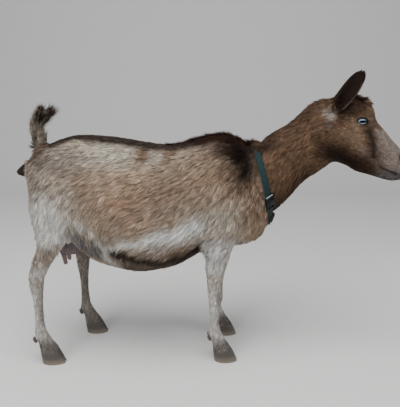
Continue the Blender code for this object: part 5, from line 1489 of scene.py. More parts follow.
def forelock_hair():
    """Locks between the ears, in rows from the poll to the forehead."""
    chance = np.random.default_rng(11)
    locks = []
    rows = ((0.55, 1.0), (0.60, 1.0), (0.62, 1.0), (0.50, 0.95), (0.25, 0.80), (0.02, 0.65))
    for row, (upward, share) in enumerate(rows):
        for column in range(9):
            across = (column - 4) / 4
            local = (-0.060 + 0.0090 * row + chance.uniform(-0.004, 0.004),
                     0.0190 * across + chance.uniform(-0.003, 0.003), 0.2)
            root, normal = drop_onto(made["bare body"], head_to_world(local), -head_direction((0, 0, 1)))
            rise = upward + chance.uniform(-0.24, 0.24)
            lie = head_direction(unit([1.0, 0.35 * across + chance.uniform(-0.30, 0.30), rise]))
            tint = tinted(CHOCOLATE, 0.5, 1.5, chance)
            if row > 2 and chance.uniform() < 0.50:
                tint = tinted(BROWN, 1.0, 2.2, chance)
            size = chance.uniform(0.018, 0.028) * share
            locks.append((root, lie, normal, size, 0.0026, 26, 0.0008, 0.004, tint, 0.75))
    return strand_mesh("forelock_hair", locks, 19)


def tail_hair():
    """Locks in a spiral up the tail: pale and upright at its root, dark and swept forward at its tip."""
    chance = np.random.default_rng(5)
    rows = spline(TAIL, 6)
    locks = []
    for index in range(TAIL_LOCKS):
        part = 0.20 + 0.76 * index / (TAIL_LOCKS - 1)
        front_x, front_z, back_x, back_z, wide = rows[int(part * (len(rows) - 1))]
        deep = math.hypot(front_x - back_x, front_z - back_z) / 2
        cos, sin = math.cos(GOLDEN_TURN * index), math.sin(GOLDEN_TURN * index)
        front = np.array([front_x - back_x, 0.0, front_z - back_z]) / (2 * deep)
        out = front * cos + LEFTWARDS * sin
        root = np.array([(front_x + back_x) / 2, 0.0, (front_z + back_z) / 2])
        root += 0.62 * (front * cos * deep + LEFTWARDS * sin * wide)
        high = float(step_up(part, 0.48, 0.74))
        low_lie = unit(np.array([-0.02, 0.0, 1.0]) + out * 0.20)
        high_lie = unit([0.58 + 0.26 * cos, 0.20 * sin, 0.84 - 0.14 * cos])
        lie = blend(low_lie, high_lie, high) + 0.10 * chance.normal(size=3)
        size = chance.uniform(0.024, 0.032) + high * (0.005 + 0.020 * max(cos, 0.0))
        tint = tinted(OLIVE, 0.6, 1.6, chance) * (1 - high) + tinted(CHOCOLATE, 0.2, 1.0, chance) * high
        if index % 6 == 0:
            tint = tinted(ASH, 0.5, 1.0, chance)
        locks.append((root, lie, out, size, 0.0034, 26, 0.00075, 0.003, tint, 0.55 + 0.38 * high))
    return strand_mesh("tail_hair", locks, 23)


def ear_fringe(side, chance):
    """Short hair on both edges of an ear, pale on the front one, whose pale hair is partly a painted
    highlight along that rim.
    """
    data = ear_rows(side)
    axis, face, across = data[:3]
    locks = []
    for edge in (-1, 1):
        for index in range(46):
            part = 0.20 + 0.74 * index / 45
            root = head_to_world(ear_point(part, edge * 0.97, data))
            way = axis - edge * across * chance.uniform(0.1, 0.35) + face * chance.uniform(0.0, 0.2)
            # The front edge's pale hair is partly the ear's own pale rim, partly a painted highlight along
            # it.
            pale = edge * across[0] > 0 and part < 0.78
            tint = tinted(STONE, 0.3, 0.8, chance) if pale else np.array(CHOCOLATE)
            size = chance.uniform(0.004, 0.007 if pale else 0.006)
            lie, normal = head_direction(unit(way)), head_direction(face)
            locks.append((root, lie, normal, size, 0.0012, 6, 0.0004, 0.001, tint, 0.3))
    return locks


def lashes(side, chance):
    out, along, up = eye_axes(side)
    locks = []
    for index in range(26):
        turn = math.radians(25 + 130 * index / 25)
        spot = (along * math.cos(turn) * LID_HALF_LENGTH * 1.02
                + up * abs(math.sin(turn)) ** 1.25 * LID_RISE_UPPER * 1.06 + out * 0.0100)
        root = head_to_world(eye_middle(side) + unit(spot) * 0.0152)
        lie = head_direction(unit(out * 0.9 - up * 0.15 + along * math.cos(turn) * 0.5))
        size, tint = chance.uniform(0.005, 0.0075), np.array(INK) * 1.5
        locks.append((root, lie, head_direction(up), size, 0.0005, 3, 0.00035, 0.001, tint, 0.2))
    return locks


def whiskers(side, chance):
    """Single hairs on one side of the lips and chin."""
    locks = []
    for _ in range(22):
        local = (chance.uniform(0.118, 0.158), side * 0.09, chance.uniform(-0.064, -0.026))
        root, normal = drop_onto(made["bare body"], head_to_world(local), -side * head_direction((0, 1, 0)))
        if root is not None:
            lie = unit(normal * 0.9 + head_direction((-0.3, 0, -0.4)))
            size, tint = chance.uniform(0.008, 0.015), np.array(ASH)
            locks.append((root, lie, head_direction((0, 0, 1)), size, 0.0003, 2, 0.00028, 0.0006, tint, 0.0))
    return locks


def fringe_hair():
    """Hair on the ears' edges, lashes, and whiskers of the lips and chin."""
    chance = np.random.default_rng(29)
    locks = []
    for side in SIDES:
        locks += ear_fringe(side, chance) + lashes(side, chance) + whiskers(side, chance)
    return strand_mesh("fringe_hair", locks, 37)


# Eyes, horn and udder

def eye_paint(settings):
    """A pale iris that darkens to its rim, with a level slit for a pupil, drawn on the ball's own chart."""
    found = bpy.data.materials.get("pale blue eye")
    if found:
        return found
    paint, tree, shader = new_material("pale blue eye")
    for socket, value in (("Roughness", 0.10), ("Specular IOR Level", 0.04), ("Coat Weight", 0.14),
                          ("Coat Roughness", 0.02)):
        shader.inputs[socket].default_value = value
    place = add(tree, "ShaderNodeUVMap", uv_map="gaze")
    centred = add(tree, "ShaderNodeVectorMath", {1: (0.5, 0.5, 0.0)}, operation="SUBTRACT")
    wide = add(tree, "ShaderNodeVectorMath", {"Scale": 2.0}, operation="SCALE")
    far = add(tree, "ShaderNodeVectorMath", operation="LENGTH")
    rings = add(tree, "ShaderNodeValToRGB")
    ramp = rings.color_ramp.elements
    ramp[0].position = IRIS_RINGS[0][0]
    ramp[1].position = IRIS_RINGS[-1][0]
    ramp[0].color = (*IRIS_RINGS[0][1], 1.0)
    ramp[1].color = (*IRIS_RINGS[-1][1], 1.0)
    for at, colour in IRIS_RINGS[1:-1]:
        ramp.new(at).color = (*colour, 1.0)
    streak = add(tree, "ShaderNodeTexNoise", {"Scale": 9.0, "Detail": 4.0})
    shade = add(tree, "ShaderNodeMapRange", {"From Min": 0.3, "From Max": 0.7, "To Min": 0.70,
                                             "To Max": 1.15})
    iris = add(tree, "ShaderNodeVectorMath", operation="SCALE")
    split = add(tree, "ShaderNodeSeparateXYZ")
    total = add(tree, "ShaderNodeMath", operation="ADD")
    for index, size in enumerate((settings.pupil_length, settings.pupil_height)):
        part = add(tree, "ShaderNodeMath", {1: size}, operation="DIVIDE")
        raised = add(tree, "ShaderNodeMath", {1: 4.0}, operation="POWER")
        wire(tree, (split, index, part, 0), (part, 0, raised, 0), (raised, 0, total, index))
    edge = add(tree, "ShaderNodeMapRange", {"From Min": 0.75, "From Max": 1.5})
    mixed = add(tree, "ShaderNodeMix", {"A": (*PUPIL, 1.0)}, data_type="RGBA")
    wire(tree, (place, 0, centred, 0), (centred, 0, wide, 0), (wide, 0, far, 0), (far, "Value", rings, "Fac"),
         (wide, 0, streak, "Vector"), (streak, "Fac", shade, "Value"), (rings, "Color", iris, 0),
         (shade, "Result", iris, "Scale"), (wide, 0, split, 0), (total, 0, edge, "Value"),
         (edge, "Result", mixed, "Factor"), (iris, 0, mixed, "B"), (mixed, "Result", shader, "Base Color"))
    return paint


def chart_points(obj, name, places):
    """A chart with one place for each point of the mesh."""
    chart = obj.data.uv_layers.new(name=name)
    for loop in obj.data.loops:
        chart.data[loop.index].uv = places[loop.vertex_index]


def eye_ball(name, side, settings):
    """A ball with a clear bulge over the iris, looked at along its own axis for the pupil."""
    out, along, up = eye_axes(side, HEAD_DROP)
    rings, segments = 40, 48
    points, gaze = [out * (EYE_RADIUS + CORNEA_RISE)], [(0.5, 0.5)]
    for level in range(1, rings):
        tilt = math.pi * level / rings
        radius = EYE_RADIUS + CORNEA_RISE * math.exp(-((tilt / 0.62) ** 4))
        reach = math.sin(tilt) if tilt < math.pi / 2 else 2 - math.sin(tilt)
        for turn in np.arange(segments) * 2 * math.pi / segments:
            flat = along * math.cos(turn) + up * math.sin(turn)
            points.append(radius * (out * math.cos(tilt) + flat * math.sin(tilt)))
            gaze.append((0.5 + 0.5 * reach * math.cos(turn), 0.5 + 0.5 * reach * math.sin(turn)))
    points.append(-out * EYE_RADIUS)
    gaze.append((1.5, 0.5))
    faces = []
    last = 1 + (rings - 2) * segments
    for step in range(segments):
        after = (step + 1) % segments
        faces.append((0, 1 + step, 1 + after))
        faces.append((len(points) - 1, last + after, last + step))
        for low in range(1, last, segments):
            faces.append((low + step, low + segments + step, low + segments + after, low + after))
    points = head_to_world(np.array(points) + eye_middle(side))
    obj = mesh_object(name, points, faced_out(points, faces))
    chart_points(obj, "gaze", gaze)
    return finished(obj, eye_paint(settings), "eye", name.replace("eyeball", "eye"))


def hoop(path, radii, around):
    """A closed round bar along a path that ends where it starts."""
    rings = []
    for index, centre in enumerate(path):
        run = unit(path[(index + 1) % len(path)] - path[index - 1])
        across = unit(np.cross(run, np.array([0.31, 0.12, 0.94])))
        angle = np.arange(around) * 2 * math.pi / around
        circle = np.outer(np.cos(angle), across) + np.outer(np.sin(angle), np.cross(run, across))
        rings.append(centre + radii[index] * circle)
    points = np.vstack(rings)
    return points, faced_out(points, band_faces(len(rings), around, closed=True))


def lid_rims():
    """The bare dark edges of the lids, lying on the eyeballs."""
    shapes = []
    for side in SIDES:
        out, along, up = eye_axes(side)
        path, radii = [], []
        for turn in np.arange(72) * 2 * math.pi / 72:
            sin = math.sin(turn)
            u = math.cos(turn) * LID_HALF_LENGTH
            v = math.copysign(abs(sin) ** 1.25, sin) * (LID_RISE_UPPER if sin > 0 else LID_RISE_LOWER)
            high = math.sqrt(max(LID_RIM_RADIUS**2 - u * u - v * v, 1e-8))
            path.append(eye_middle(side) + along * u + up * v + out * high)
            radii.append(0.00075 + 0.00045 * max(sin, 0.0))
        shapes.append(hoop(head_to_world(np.array(path)), radii, 10))
    obj = mesh_object("lid_rims", *joined(shapes))
    paint = finish_material("bare dark skin", (0.010, 0.007, 0.006), 0.50, scale=900.0, contrast=0.4,
                            relief=0.25, specular=0.12, coat=0.04)
    return finished(obj, paint, "face_coat")


def claw(name, side, forward, tag):
    """One claw of a foot: a wall of horn with a level sole."""
    hind = "hind" in name
    toe = (HIND_TOE if hind else FORE_TOE) + forward
    middle = side * (HIND_SPREAD if hind else FORE_SPREAD)
    outwards = 1 if (tag == "outer") == (side > 0) else -1
    foot = mesh_object("foot_form", *leg_shape(name, side, forward, 56, 6))
    room = wedge("claw_room", toe, CORONET_REACH, (-0.03, CORONET_HEEL, CORONET_TOE),
                 (middle + outwards * CLEFT_HALF, middle + outwards * 0.06))
    remeshed(combined(foot, room, "INTERSECT", "EXACT"), 0.0013)
    points = smoothed(points_of(foot), edges_of(foot), 6)
    run = points[:, 0] - toe
    centre_y = middle + outwards * 0.0092
    points[:, 1] = centre_y + (points[:, 1] - centre_y) * (1 - 0.22 * step_up(run, 0.0, 0.032))
    rings = np.sin((points[:, 2] - 0.22 * run) * 2 * math.pi / GROWTH_RING + wave(points, 0.03, 61))
    away = points[:, 1] - centre_y
    points[:, 1] += np.sign(away) * 0.00012 * rings * step_up(np.abs(away), 0.002, 0.006)
    points[:, 2] = np.maximum(points[:, 2], 0.0)
    set_points(foot, points)
    foot.name = f"hoof_{name}_{tag}"
    return foot


def horn_paint(settings):
    """Horn with uneven bands up its wall, paler where the sole's edge is worn."""
    found = bpy.data.materials.get("hoof horn")
    if found:
        return found
    paint = finish_material("hoof horn", settings.horn_colour, 0.48, scale=420.0, contrast=0.5, relief=0.25)
    tree = paint.node_tree
    place, height = add(tree, "ShaderNodeTexCoord"), add(tree, "ShaderNodeSeparateXYZ")
    bands = add(tree, "ShaderNodeTexWave", {"Scale": 42.0, "Distortion": 3.5, "Detail": 2.0},
                bands_direction="Z")
    worn = add(tree, "ShaderNodeMapRange", {"From Min": 0.002, "From Max": 0.016, "To Min": 0.9,
                                            "To Max": 0.0})
    wall = add(tree, "ShaderNodeMix", {"A": (*settings.horn_colour, 1.0), "B": (*HORN_BAND, 1.0)},
               data_type="RGBA")
    sole = add(tree, "ShaderNodeMix", {"B": (*WORN_HORN, 1.0)}, data_type="RGBA")
    wire(tree, (place, "Object", bands, "Vector"), (place, "Object", height, 0), (height, "Z", worn, "Value"),
         (bands, "Fac", wall, "Factor"), (worn, "Result", sole, "Factor"), (wall, "Result", sole, "A"),
         (sole, "Result", grain_of(paint), "Colour"))
    return paint


def dewclaw_shapes():
    """Two small cones of horn behind each foot."""
    turn = np.arange(16) * 2 * math.pi / 16
    shapes = []
    for name, side, forward in LEGS:
        hind = "hind" in name
        x = (-0.404 if hind else 0.020) + forward
        y = side * (HIND_SPREAD if hind else FORE_SPREAD)
        for half in (-1, 1):
            rings = [np.column_stack([x + 0.0035 - 0.16 * rise + 0.0058 * size * np.cos(turn),
                                      y + half * 0.0088 + 0.0044 * size * np.sin(turn),
                                      np.full(16, 0.0625 + rise)]) for rise, size in DEWCLAW]
            shapes.append(skin_of_rings(rings))
    return shapes


def udder_body(settings):
    rows = [(front, z, back, z, 0.0, half, 0.5, 2.1) for z, front, back, half in UDDER]
    shapes = [loft(rows, 28, 3)]
    for side in (-1, 1):
        teat = [(x + r, z, x - r, z, side * 0.0185, r, 0.5, 2.0) for z, x, r in TEAT]
        shapes.append(loft(teat, 20, 3))
    obj = remeshed(mesh_object("udder_skin", *joined(shapes)), 0.0016)
    pairs = edges_of(obj)
    points = smoothed(points_of(obj), pairs, 10)
    points = evened(points, pairs, 12, bell(points[:, 2], 0.010, 0.274))
    set_points(obj, points)
    rough = 0.0005 * wave(points, 0.006, 41) * step_up(0.28 - points[:, 2], 0.0, 0.02)
    points += normals_of(obj) * rough[:, None]
    set_points(obj, points)
    bare = 1 - step_up(points[:, 2] + 0.003 * wave(points, 0.02, 44), 0.252, 0.276)
    tone_layer(obj, laid_over(np.tile(np.array(MAUVE), (len(points), 1)), settings.udder_colour, bare))
    paint = finish_material("udder skin", settings.udder_colour, 0.55, scale=520.0, contrast=0.45, relief=0.5,
                            specular=0.3, tone=True)
    finished(obj, paint, "udder_skin", "udder")
    return udder_fuzz(obj)


def udder_fuzz(udder):
    """Short soft hair on the upper part of the udder."""
    form = udder.copy()
    form.data = udder.data.copy()
    triangulated(form)
    points = points_of(form)
    points[:, 0] -= shift_x()
    set_points(form, points)
    spacing = np.where(points[:, 2] > FUZZ_FROM, 0.0013, 1.0)
    roots, normal, _, chance = roots_on(form, (), spacing, UDDER_TUFTS, 51)
    bpy.data.meshes.remove(form.data)
    keep = roots[:, 2] > FUZZ_FROM
    roots, normal = roots[keep], normal[keep]
    count = len(roots)
    lie = across_to(np.array([-0.1, 0.0, -1.0]) + 0.25 * chance.normal(size=(count, 3)), normal)
    length = chance.uniform(0.005, 0.009, count) * step_up(roots[:, 2], 0.245, 0.275)
    sizes = (length, np.full(count, 0.0007), 0.25 * length, chance.normal(0, 0.1, count))
    colours = np.array(MAUVE) * np.exp(chance.normal(0, 0.25, (count, 1)))
    return finished(tuft_mesh("udder_hair", roots, normal, lie, sizes, colours), hair_paint(), "coat")


# Collar

def collar_rows():
    """Distances from the collar's middle to the coat at its two edges, evened out."""
    normal, up = collar_axes()
    rows = []
    for edge in (-1, 1):
        centre = COLLAR_MIDDLE + normal * edge * STRAP_HALF_WIDTH
        reach = []
        for turn in np.arange(COLLAR_STEPS) * 2 * math.pi / COLLAR_STEPS:
            aim = LEFTWARDS * math.cos(turn) + up * math.sin(turn)
            reach.append(np.linalg.norm(drop_onto(made["outer"], centre + aim * 0.25, -aim)[0] - centre))
        reach = np.array(reach)
        for _ in range(6):
            reach = np.maximum(reach, (np.roll(reach, 1) + np.roll(reach, -1)) / 2)
        for _ in range(5):
            reach = 0.5 * reach + 0.25 * (np.roll(reach, 1) + np.roll(reach, -1))
        rows.append(np.append(reach, reach[0]))
    return rows


def strap_at(rows, turn, across, height):
    """A place on the strap: round the neck by an angle, across it from -1 to 1, and over the coat."""
    normal, up = collar_axes()
    at = np.linspace(0.0, 2 * math.pi, COLLAR_STEPS + 1)
    front, back = (np.interp(turn % (2 * math.pi), at, row) for row in rows)
    aim = LEFTWARDS * math.cos(turn) + up * math.sin(turn)
    slack = 0.006 * max(-math.sin(turn), 0.0) ** 6
    reach = front + (back - front) * (across + 1) / 2
    return COLLAR_MIDDLE + normal * across * STRAP_HALF_WIDTH + aim * (reach + slack + height)


def strap_shape(rows, start, stop, steps, base, thick, half=1.0, closed=True):
    """Webbing with rounded edges between two angles, with its chart in metres along and across."""
    rings = []
    for step in range(steps):
        turn = start + (stop - start) * step / (steps if closed else steps - 1)
        rings.append(np.array([strap_at(rows, turn, across * half, base + thick * deep)
                               for across, deep in STRAP_EDGE]))
    around = len(STRAP_EDGE)
    points, faces = np.vstack(rings), band_faces(steps, around, closed)
    if not closed:
        faces += [tuple(range(around))[::-1], tuple(range((steps - 1) * around, steps * around))]
    top = np.array([ring_points[STRAP_TOP] for ring_points in rings])
    run = np.append(0, np.cumsum(np.linalg.norm(np.diff(top, axis=0), axis=1)))
    where = [(along, (across * half + 1) * STRAP_HALF_WIDTH) for along in run for across, _ in STRAP_EDGE]
    return points, faced_out(points, faces), where


def webbing_paint(settings):
    """Plain woven webbing: two sets of fine waves, crossed on the strap's own chart."""
    found = bpy.data.materials.get("woven webbing")
    if found:
        return found
    paint = finish_material("woven webbing", settings.strap_colour, 0.70, scale=1500.0, contrast=0.4,
                            relief=0.2, specular=0.25)
    tree, grain = paint.node_tree, grain_of(paint)
    place = add(tree, "ShaderNodeUVMap", uv_map="weave")
    both = add(tree, "ShaderNodeMath", operation="MULTIPLY")
    for index, (way, scale) in enumerate((("DIAGONAL", 190.0), ("X", 160.0))):
        weave = add(tree, "ShaderNodeTexWave", {"Scale": scale, "Distortion": 0.4}, bands_direction=way)
        wire(tree, (place, 0, weave, "Vector"), (weave, "Fac", both, index))
    tint = add(tree, "ShaderNodeMix", data_type="RGBA")
    for socket, share in (("A", 0.55), ("B", 1.7)):
        tint.inputs[socket].default_value = (*[value * share for value in settings.strap_colour], 1.0)
    relief = add(tree, "ShaderNodeBump", {"Strength": 0.6, "Distance": 0.0005})
    wire(tree, (both, 0, tint, "Factor"), (tint, "Result", grain, "Colour"), (both, 0, relief, "Height"),
         (grain, "Normal", relief, "Normal"), (relief, 0, tree.nodes["Principled BSDF"], "Normal"))
    return paint


def threaded_tree():
    """Rods set at even steps along a line, lying along it or across it."""
    tree = bpy.data.node_groups.new("rods along a line", "GeometryNodeTree")
    add_sockets(tree, "INPUT", ("Line", "Geometry", None), ("Spacing", "Float", 0.003),
                ("Length", "Float", 0.002),
                ("Radius", "Float", 0.0003), ("Follow", "Float", 1.0), ("Across", "Vector", (0, 0, 0)),
                ("Finish", "Material", None))
    add_sockets(tree, "OUTPUT", ("Rods", "Geometry", None))
    enter, leave = add(tree, "NodeGroupInput"), add(tree, "NodeGroupOutput")
    line, tangent = add(tree, "GeometryNodeMeshToCurve"), add(tree, "GeometryNodeInputTangent")
    spaced = add(tree, "GeometryNodeResampleCurve", mode="LENGTH")
    rod = add(tree, "GeometryNodeMeshCylinder", {"Vertices": 10})
    turned = add(tree, "FunctionNodeAlignRotationToVector")
    scaled = add(tree, "ShaderNodeVectorMath", operation="SCALE")
    summed, placed = add(tree, "ShaderNodeVectorMath"), add(tree, "GeometryNodeInstanceOnPoints")
    real, coloured = add(tree, "GeometryNodeRealizeInstances"), add(tree, "GeometryNodeSetMaterial")
    wire(tree, (enter, "Line", line, "Mesh"), (line, "Curve", spaced, "Curve"),
         (enter, "Spacing", spaced, "Length"),
         (enter, "Length", rod, "Depth"), (enter, "Radius", rod, "Radius"), (tangent, "Tangent", scaled, 0),
         (enter, "Follow", scaled, "Scale"), (scaled, 0, summed, 0), (enter, "Across", summed, 1),
         (summed, 0, turned, "Vector"), (spaced, "Curve", placed, "Points"),
         (rod, "Mesh", placed, "Instance"),
         (turned, "Rotation", placed, "Rotation"), (placed, "Instances", real, "Geometry"),
         (real, "Geometry", coloured, "Geometry"), (enter, "Finish", coloured, "Material"),
         (coloured, "Geometry", leave, "Rods"))
    return tree


def rods_along(name, lines, finish, **sizes):
    """Rods along lines of points, made by Geometry Nodes and turned into a plain mesh."""
    tree = bpy.data.node_groups.get("rods along a line") or threaded_tree()
    edges, start = [], 0
    for line in lines:
        edges += [(start + step, start + step + 1) for step in range(len(line) - 1)]
        start += len(line)
    obj = mesh_object(name, np.vstack(lines), [], edges)
    change = obj.modifiers.new("rods", "NODES")
    change.node_group = tree
    for key, value in {"Finish": finish, **sizes}.items():
        change[tree.interface.items_tree[key].identifier] = value
    return baked(obj)


def build_collar(settings):
    rows = collar_rows()
    whole = 2 * math.pi
    shapes = [strap_shape(rows, 0.0, whole, 220, -0.0015, 0.0020),
              strap_shape(rows, whole * STRAP_END[0], whole * STRAP_END[1], 40, 0.0005, 0.0018, 0.96,
                          closed=False)]
    obj = mesh_object("collar_webbing", *joined([shape[:2] for shape in shapes]))
    chart_points(obj, "weave", [spot for shape in shapes for spot in shape[2]])
    finished(obj, webbing_paint(settings), "webbing", "collar")
    turns = np.linspace(0.0, whole, 181)
    seams = [np.array([strap_at(rows, turn, across, 0.0005) for turn in turns]) for across in (-0.76, 0.76)]
    thread = finish_material("sewing thread", (0.010, 0.050, 0.050), 0.75, scale=2600.0, contrast=0.5,
                             relief=0.3, specular=0.2)
    stitches = rods_along("strap_stitches", seams, thread, Spacing=0.0034, Length=0.0023, Radius=0.00026)
    finished(stitches, thread, "webbing")
    return rows


def rounded_box(place, centre, half, radius):
    """A box with rounded edges, set in a place's frame and bowed with the strap."""
    middle, along, across, out = place
    work = bmesh.new()
    bmesh.ops.create_cube(work, size=2.0)
    for vert in work.verts:
        vert.co = Vector([vert.co[n] * half[n] for n in range(3)])
    bmesh.ops.bevel(work, geom=list(work.edges), offset=radius, segments=3, affect="EDGES", profile=0.5)
    mesh = bpy.data.meshes.new("box")
    work.to_mesh(mesh)
    work.free()
    x, y, z = (read_field(mesh.vertices, "co") + np.array(centre)).T
    faces = [tuple(face.vertices) for face in mesh.polygons]
    bpy.data.meshes.remove(mesh)
    points = middle + np.outer(x, along) + np.outer(y, across) + np.outer(z - STRAP_BOW * x**2, out)
    return points, faced_out(points, faces)


def strap_frame(rows, part):
    """Middle of the strap at a part of its turn, and the directions along it, across it and outwards."""
    turn = 2 * math.pi * part
    middle = strap_at(rows, turn, 0.0, 0.0)
    along = unit(strap_at(rows, turn + 0.06, 0.0, 0.0) - strap_at(rows, turn - 0.06, 0.0, 0.0))
    across = across_to(strap_at(rows, turn, 1.0, 0.0) - strap_at(rows, turn, -1.0, 0.0), along)
    out = np.cross(along, across)
    return middle, along, across, out if np.dot(out, middle - COLLAR_MIDDLE) > 0 else -out


def build_buckle(rows, settings):
    """A side-release buckle with its ribbed housing, prongs and bar, and the slide at the strap's end."""
    housing, slide = strap_frame(rows, 0.579), strap_frame(rows, 0.682)
    boxes = [rounded_box(housing, *box) for box in HOUSING_BOXES]
    boxes += [rounded_box(slide, *box) for box in SLIDE_BOXES]
    paint = finish_material("moulded plastic", settings.buckle_colour, 0.42, scale=1400.0, contrast=0.25,
                            relief=0.12, specular=0.25)
    finished(mesh_object("buckle", *joined(boxes)), paint, "plastic", "collar_buckle")
    middle, along, across, out = housing
    line = np.array([middle + along * at + out * 0.0060 for at in (-0.0100, -0.0060, -0.0016)])
    ribs = rods_along("buckle_ribs", [line], paint, Spacing=0.0021, Length=0.0200, Radius=0.0007, Follow=0.0,
                      Across=tuple(across))
    finished(ribs, paint, "plastic")
    bar = mesh_object("strap_bar", *rounded_box(housing, *BAR_BOX))
    # The bar's light grey is a painted highlight along the top edge of the housing.
    paint = finish_material("bar with painted highlight", (0.30, 0.36, 0.37), 0.35, scale=900.0, contrast=0.2, relief=0.05)
    return finished(bar, paint, "plastic")


# Settings and operators

def factor_setting(name, description, default, low, high):
    return bpy.props.FloatProperty(name=name, description=description, default=default, min=low, max=high,
                                   subtype="FACTOR")


def colour_setting(name, description, default):
    return bpy.props.FloatVectorProperty(name=name, description=description, default=default, size=3,
                                         subtype="COLOR", min=0, max=1)


class GoatSettings(bpy.types.PropertyGroup):
    """Sizes and colours that a user would change."""

    skin_grid: bpy.props.FloatProperty(name="Skin grid", description="Size of the skin's faces on the body",
                                       default=0.0042, min=0.002, max=0.01, unit="LENGTH")
    spacing: factor_setting("Tuft spacing", "Spacing of the tufts against their plan", 1.0, 0.5, 4.0)
    length: factor_setting("Coat length", "Length of the short hair against its plan", 1.0, 0.3, 2.0)
    seed: bpy.props.IntProperty(name="Seed", description="Seed of the coat's random spread", default=3, min=0)
    pupil_length: factor_setting("Pupil length", "Half length of the slit pupil on the eye", 0.56, 0.1, 0.7)
    pupil_height: factor_setting("Pupil height", "Half height of the slit pupil on the eye", 0.21, 0.03, 0.5)
    horn_colour: colour_setting("Hoof colour", "Colour of the horn", (0.045, 0.038, 0.034))
    udder_colour: colour_setting("Udder colour", "Colour of the bare udder skin", (0.235, 0.165, 0.160))
    strap_colour: colour_setting("Strap colour", "Colour of the collar's webbing", (0.004, 0.026, 0.027))
    buckle_colour: colour_setting("Buckle colour", "Colour of the moulded buckle", (0.003, 0.006, 0.007))
    floor_colour: colour_setting("Floor colour", "Colour of the floor and backdrop", (0.72, 0.71, 0.69))


def backdrop(settings):
    """A pale floor that curves up behind the goat."""
    bend = [(2.2 + 1.2 * math.sin(turn), 1.2 - 1.2 * math.cos(turn)) for turn in np.radians(range(6, 91, 6))]
    profile = [(-4.0, 0.0), (2.2, 0.0), *bend, (3.4, 4.5)]
    points = [(x, y, z) for y, z in profile for x in (-6.0, 6.0)]
    faces = [(2 * n, 2 * n + 1, 2 * n + 3, 2 * n + 2) for n in range(len(profile) - 1)]
    floor = mesh_object("floor", points, faces)
    floor.data.polygons.foreach_set("use_smooth", np.ones(len(faces), bool))
    paint = finish_material("pale floor", settings.floor_colour, 0.85, scale=60.0, contrast=0.03, relief=0.02)
    floor.data.materials.append(paint)


def soft_light(name, place, aim, size, power):
    light = bpy.data.lights.new(name, "AREA")
    light.shape = "DISK"
    light.size = size
    light.energy = power
    lamp = linked(name, light)
    lamp.location = place
    lamp.rotation_euler = (Vector(aim) - Vector(place)).to_track_quat("-Z", "Y").to_euler()


def soft_room():
    world = bpy.data.worlds.new("soft room")
    world.use_nodes = True
    sky = world.node_tree.nodes["Background"]
    sky.inputs["Color"].default_value = (0.90, 0.93, 1.0, 1.0)
    sky.inputs["Strength"].default_value = 0.38
    return world


def stage_camera():
    lens = bpy.data.cameras.new("camera")
    lens.sensor_width = 36.0
    lens.lens = lens.sensor_width * FOCAL_PIXELS / PICTURE_PIXELS
    lens.clip_start = 0.05
    camera = linked("camera", lens)
    camera.location = (shift_x(), -1.17, 0.62)
    camera.rotation_euler = (math.radians(78.5), 0.0, 0.0)
    return camera


class GOAT_OT_stage(bpy.types.Operator):
    """Adds the pale floor with its curved backdrop, soft lights and the camera"""

    bl_idname = "goat.stage"
    bl_label = "Stage"

    def execute(self, context):
        backdrop(context.scene.goat)
        for row in LIGHTS:
            soft_light(*row)
        context.scene.world = soft_room()
        context.scene.camera = stage_camera()
        return {"FINISHED"}


class GOAT_OT_skin(bpy.types.Operator):
    """Builds the one skin of body, head, ears, legs and tail, with the markings on it"""

    bl_idname = "goat.skin"
    bl_label = "Skin"

    def execute(self, context):
        body = build_skin(context.scene.goat)
        made["skin"] = body.copy()
        made["skin"].data = body.data.copy()
        points = points_of(body)
        on_ear = (ear_place(points)[:, 0] != 0)[:, None]
        tone_layer(body, 0.8 * np.where(on_ear, np.array(CHOCOLATE), tone_of(points)))
        paint = finish_material("haired skin", (0.12, 0.09, 0.07), 0.75, scale=700.0, contrast=0.6,
                                relief=0.6, specular=0.15, tone=True)
        finished(body, paint, "coat", *FLESH)
        return {"FINISHED"}


class GOAT_OT_coat(bpy.types.Operator):
    """Lays the short coat over the skin, in tufts that follow its lie"""

    bl_idname = "goat.coat"
    bl_label = "Short coat"

    def execute(self, context):
        short_coat(made["skin"], context.scene.goat)
        return {"FINISHED"}


class GOAT_OT_long_hair(bpy.types.Operator):
    """Adds the crest, the forelock, the tail's locks, ear fringes, lashes and whiskers"""

    bl_idname = "goat.long_hair"
    bl_label = "Long hair"

    def execute(self, context):
        crest_hair()
        forelock_hair()
        tail_hair()
        fringe_hair()
        return {"FINISHED"}


class GOAT_OT_eyes(bpy.types.Operator):
    """Adds the eyeballs with their slit pupils and the edges of the lids"""

    bl_idname = "goat.eyes"
    bl_label = "Eyes"

    def execute(self, context):
        eye_ball("eyeball_left", 1, context.scene.goat)
        eye_ball("eyeball_right", -1, context.scene.goat)
        lid_rims()
        return {"FINISHED"}


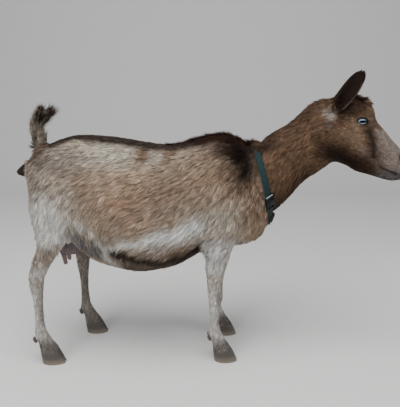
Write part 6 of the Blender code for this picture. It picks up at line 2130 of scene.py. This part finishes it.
class GOAT_OT_hooves(bpy.types.Operator):
    """Adds the eight claws with growth rings and the dewclaws"""

    bl_idname = "goat.hooves"
    bl_label = "Hooves"

    def execute(self, context):
        paint = horn_paint(context.scene.goat)
        for name, side, forward in LEGS:
            for tag in ("inner", "outer"):
                finished(claw(name, side, forward, tag), paint, "horn", f"claw_{name}_{tag}")
        finished(mesh_object("dewclaws", *joined(dewclaw_shapes())), paint, "horn")
        return {"FINISHED"}


class GOAT_OT_udder(bpy.types.Operator):
    """Adds the udder with its two teats"""

    bl_idname = "goat.udder"
    bl_label = "Udder"

    def execute(self, context):
        udder_body(context.scene.goat)
        return {"FINISHED"}


class GOAT_OT_collar(bpy.types.Operator):
    """Adds the webbing collar and its side-release buckle"""

    bl_idname = "goat.collar"
    bl_label = "Collar"

    def execute(self, context):
        rows = build_collar(context.scene.goat)
        build_buckle(rows, context.scene.goat)
        return {"FINISHED"}


STEPS = (GOAT_OT_stage, GOAT_OT_skin, GOAT_OT_coat, GOAT_OT_long_hair, GOAT_OT_eyes, GOAT_OT_hooves,
         GOAT_OT_udder, GOAT_OT_collar)


class GOAT_PT_panel(bpy.types.Panel):
    """Lists the goat's pieces and its settings"""

    bl_idname = "GOAT_PT_panel"
    bl_label = "Goat"
    bl_space_type = "VIEW_3D"
    bl_region_type = "UI"
    bl_category = "Goat"

    def draw(self, context):
        for name in GoatSettings.__annotations__:
            self.layout.prop(context.scene.goat, name)
        for step in STEPS:
            self.layout.operator(step.bl_idname)


CLASSES = (GoatSettings, *STEPS, GOAT_PT_panel)


def register():
    for item in CLASSES:
        bpy.utils.register_class(item)
    bpy.types.Scene.goat = bpy.props.PointerProperty(type=GoatSettings)


def unregister():
    del bpy.types.Scene.goat
    for item in reversed(CLASSES):
        bpy.utils.unregister_class(item)


def main():
    register()
    for step in STEPS:
        family, name = step.bl_idname.split(".")
        getattr(getattr(bpy.ops, family), name)()
    bpy.data.objects.remove(made.pop("skin"))


if __name__ == "__main__":
    main()
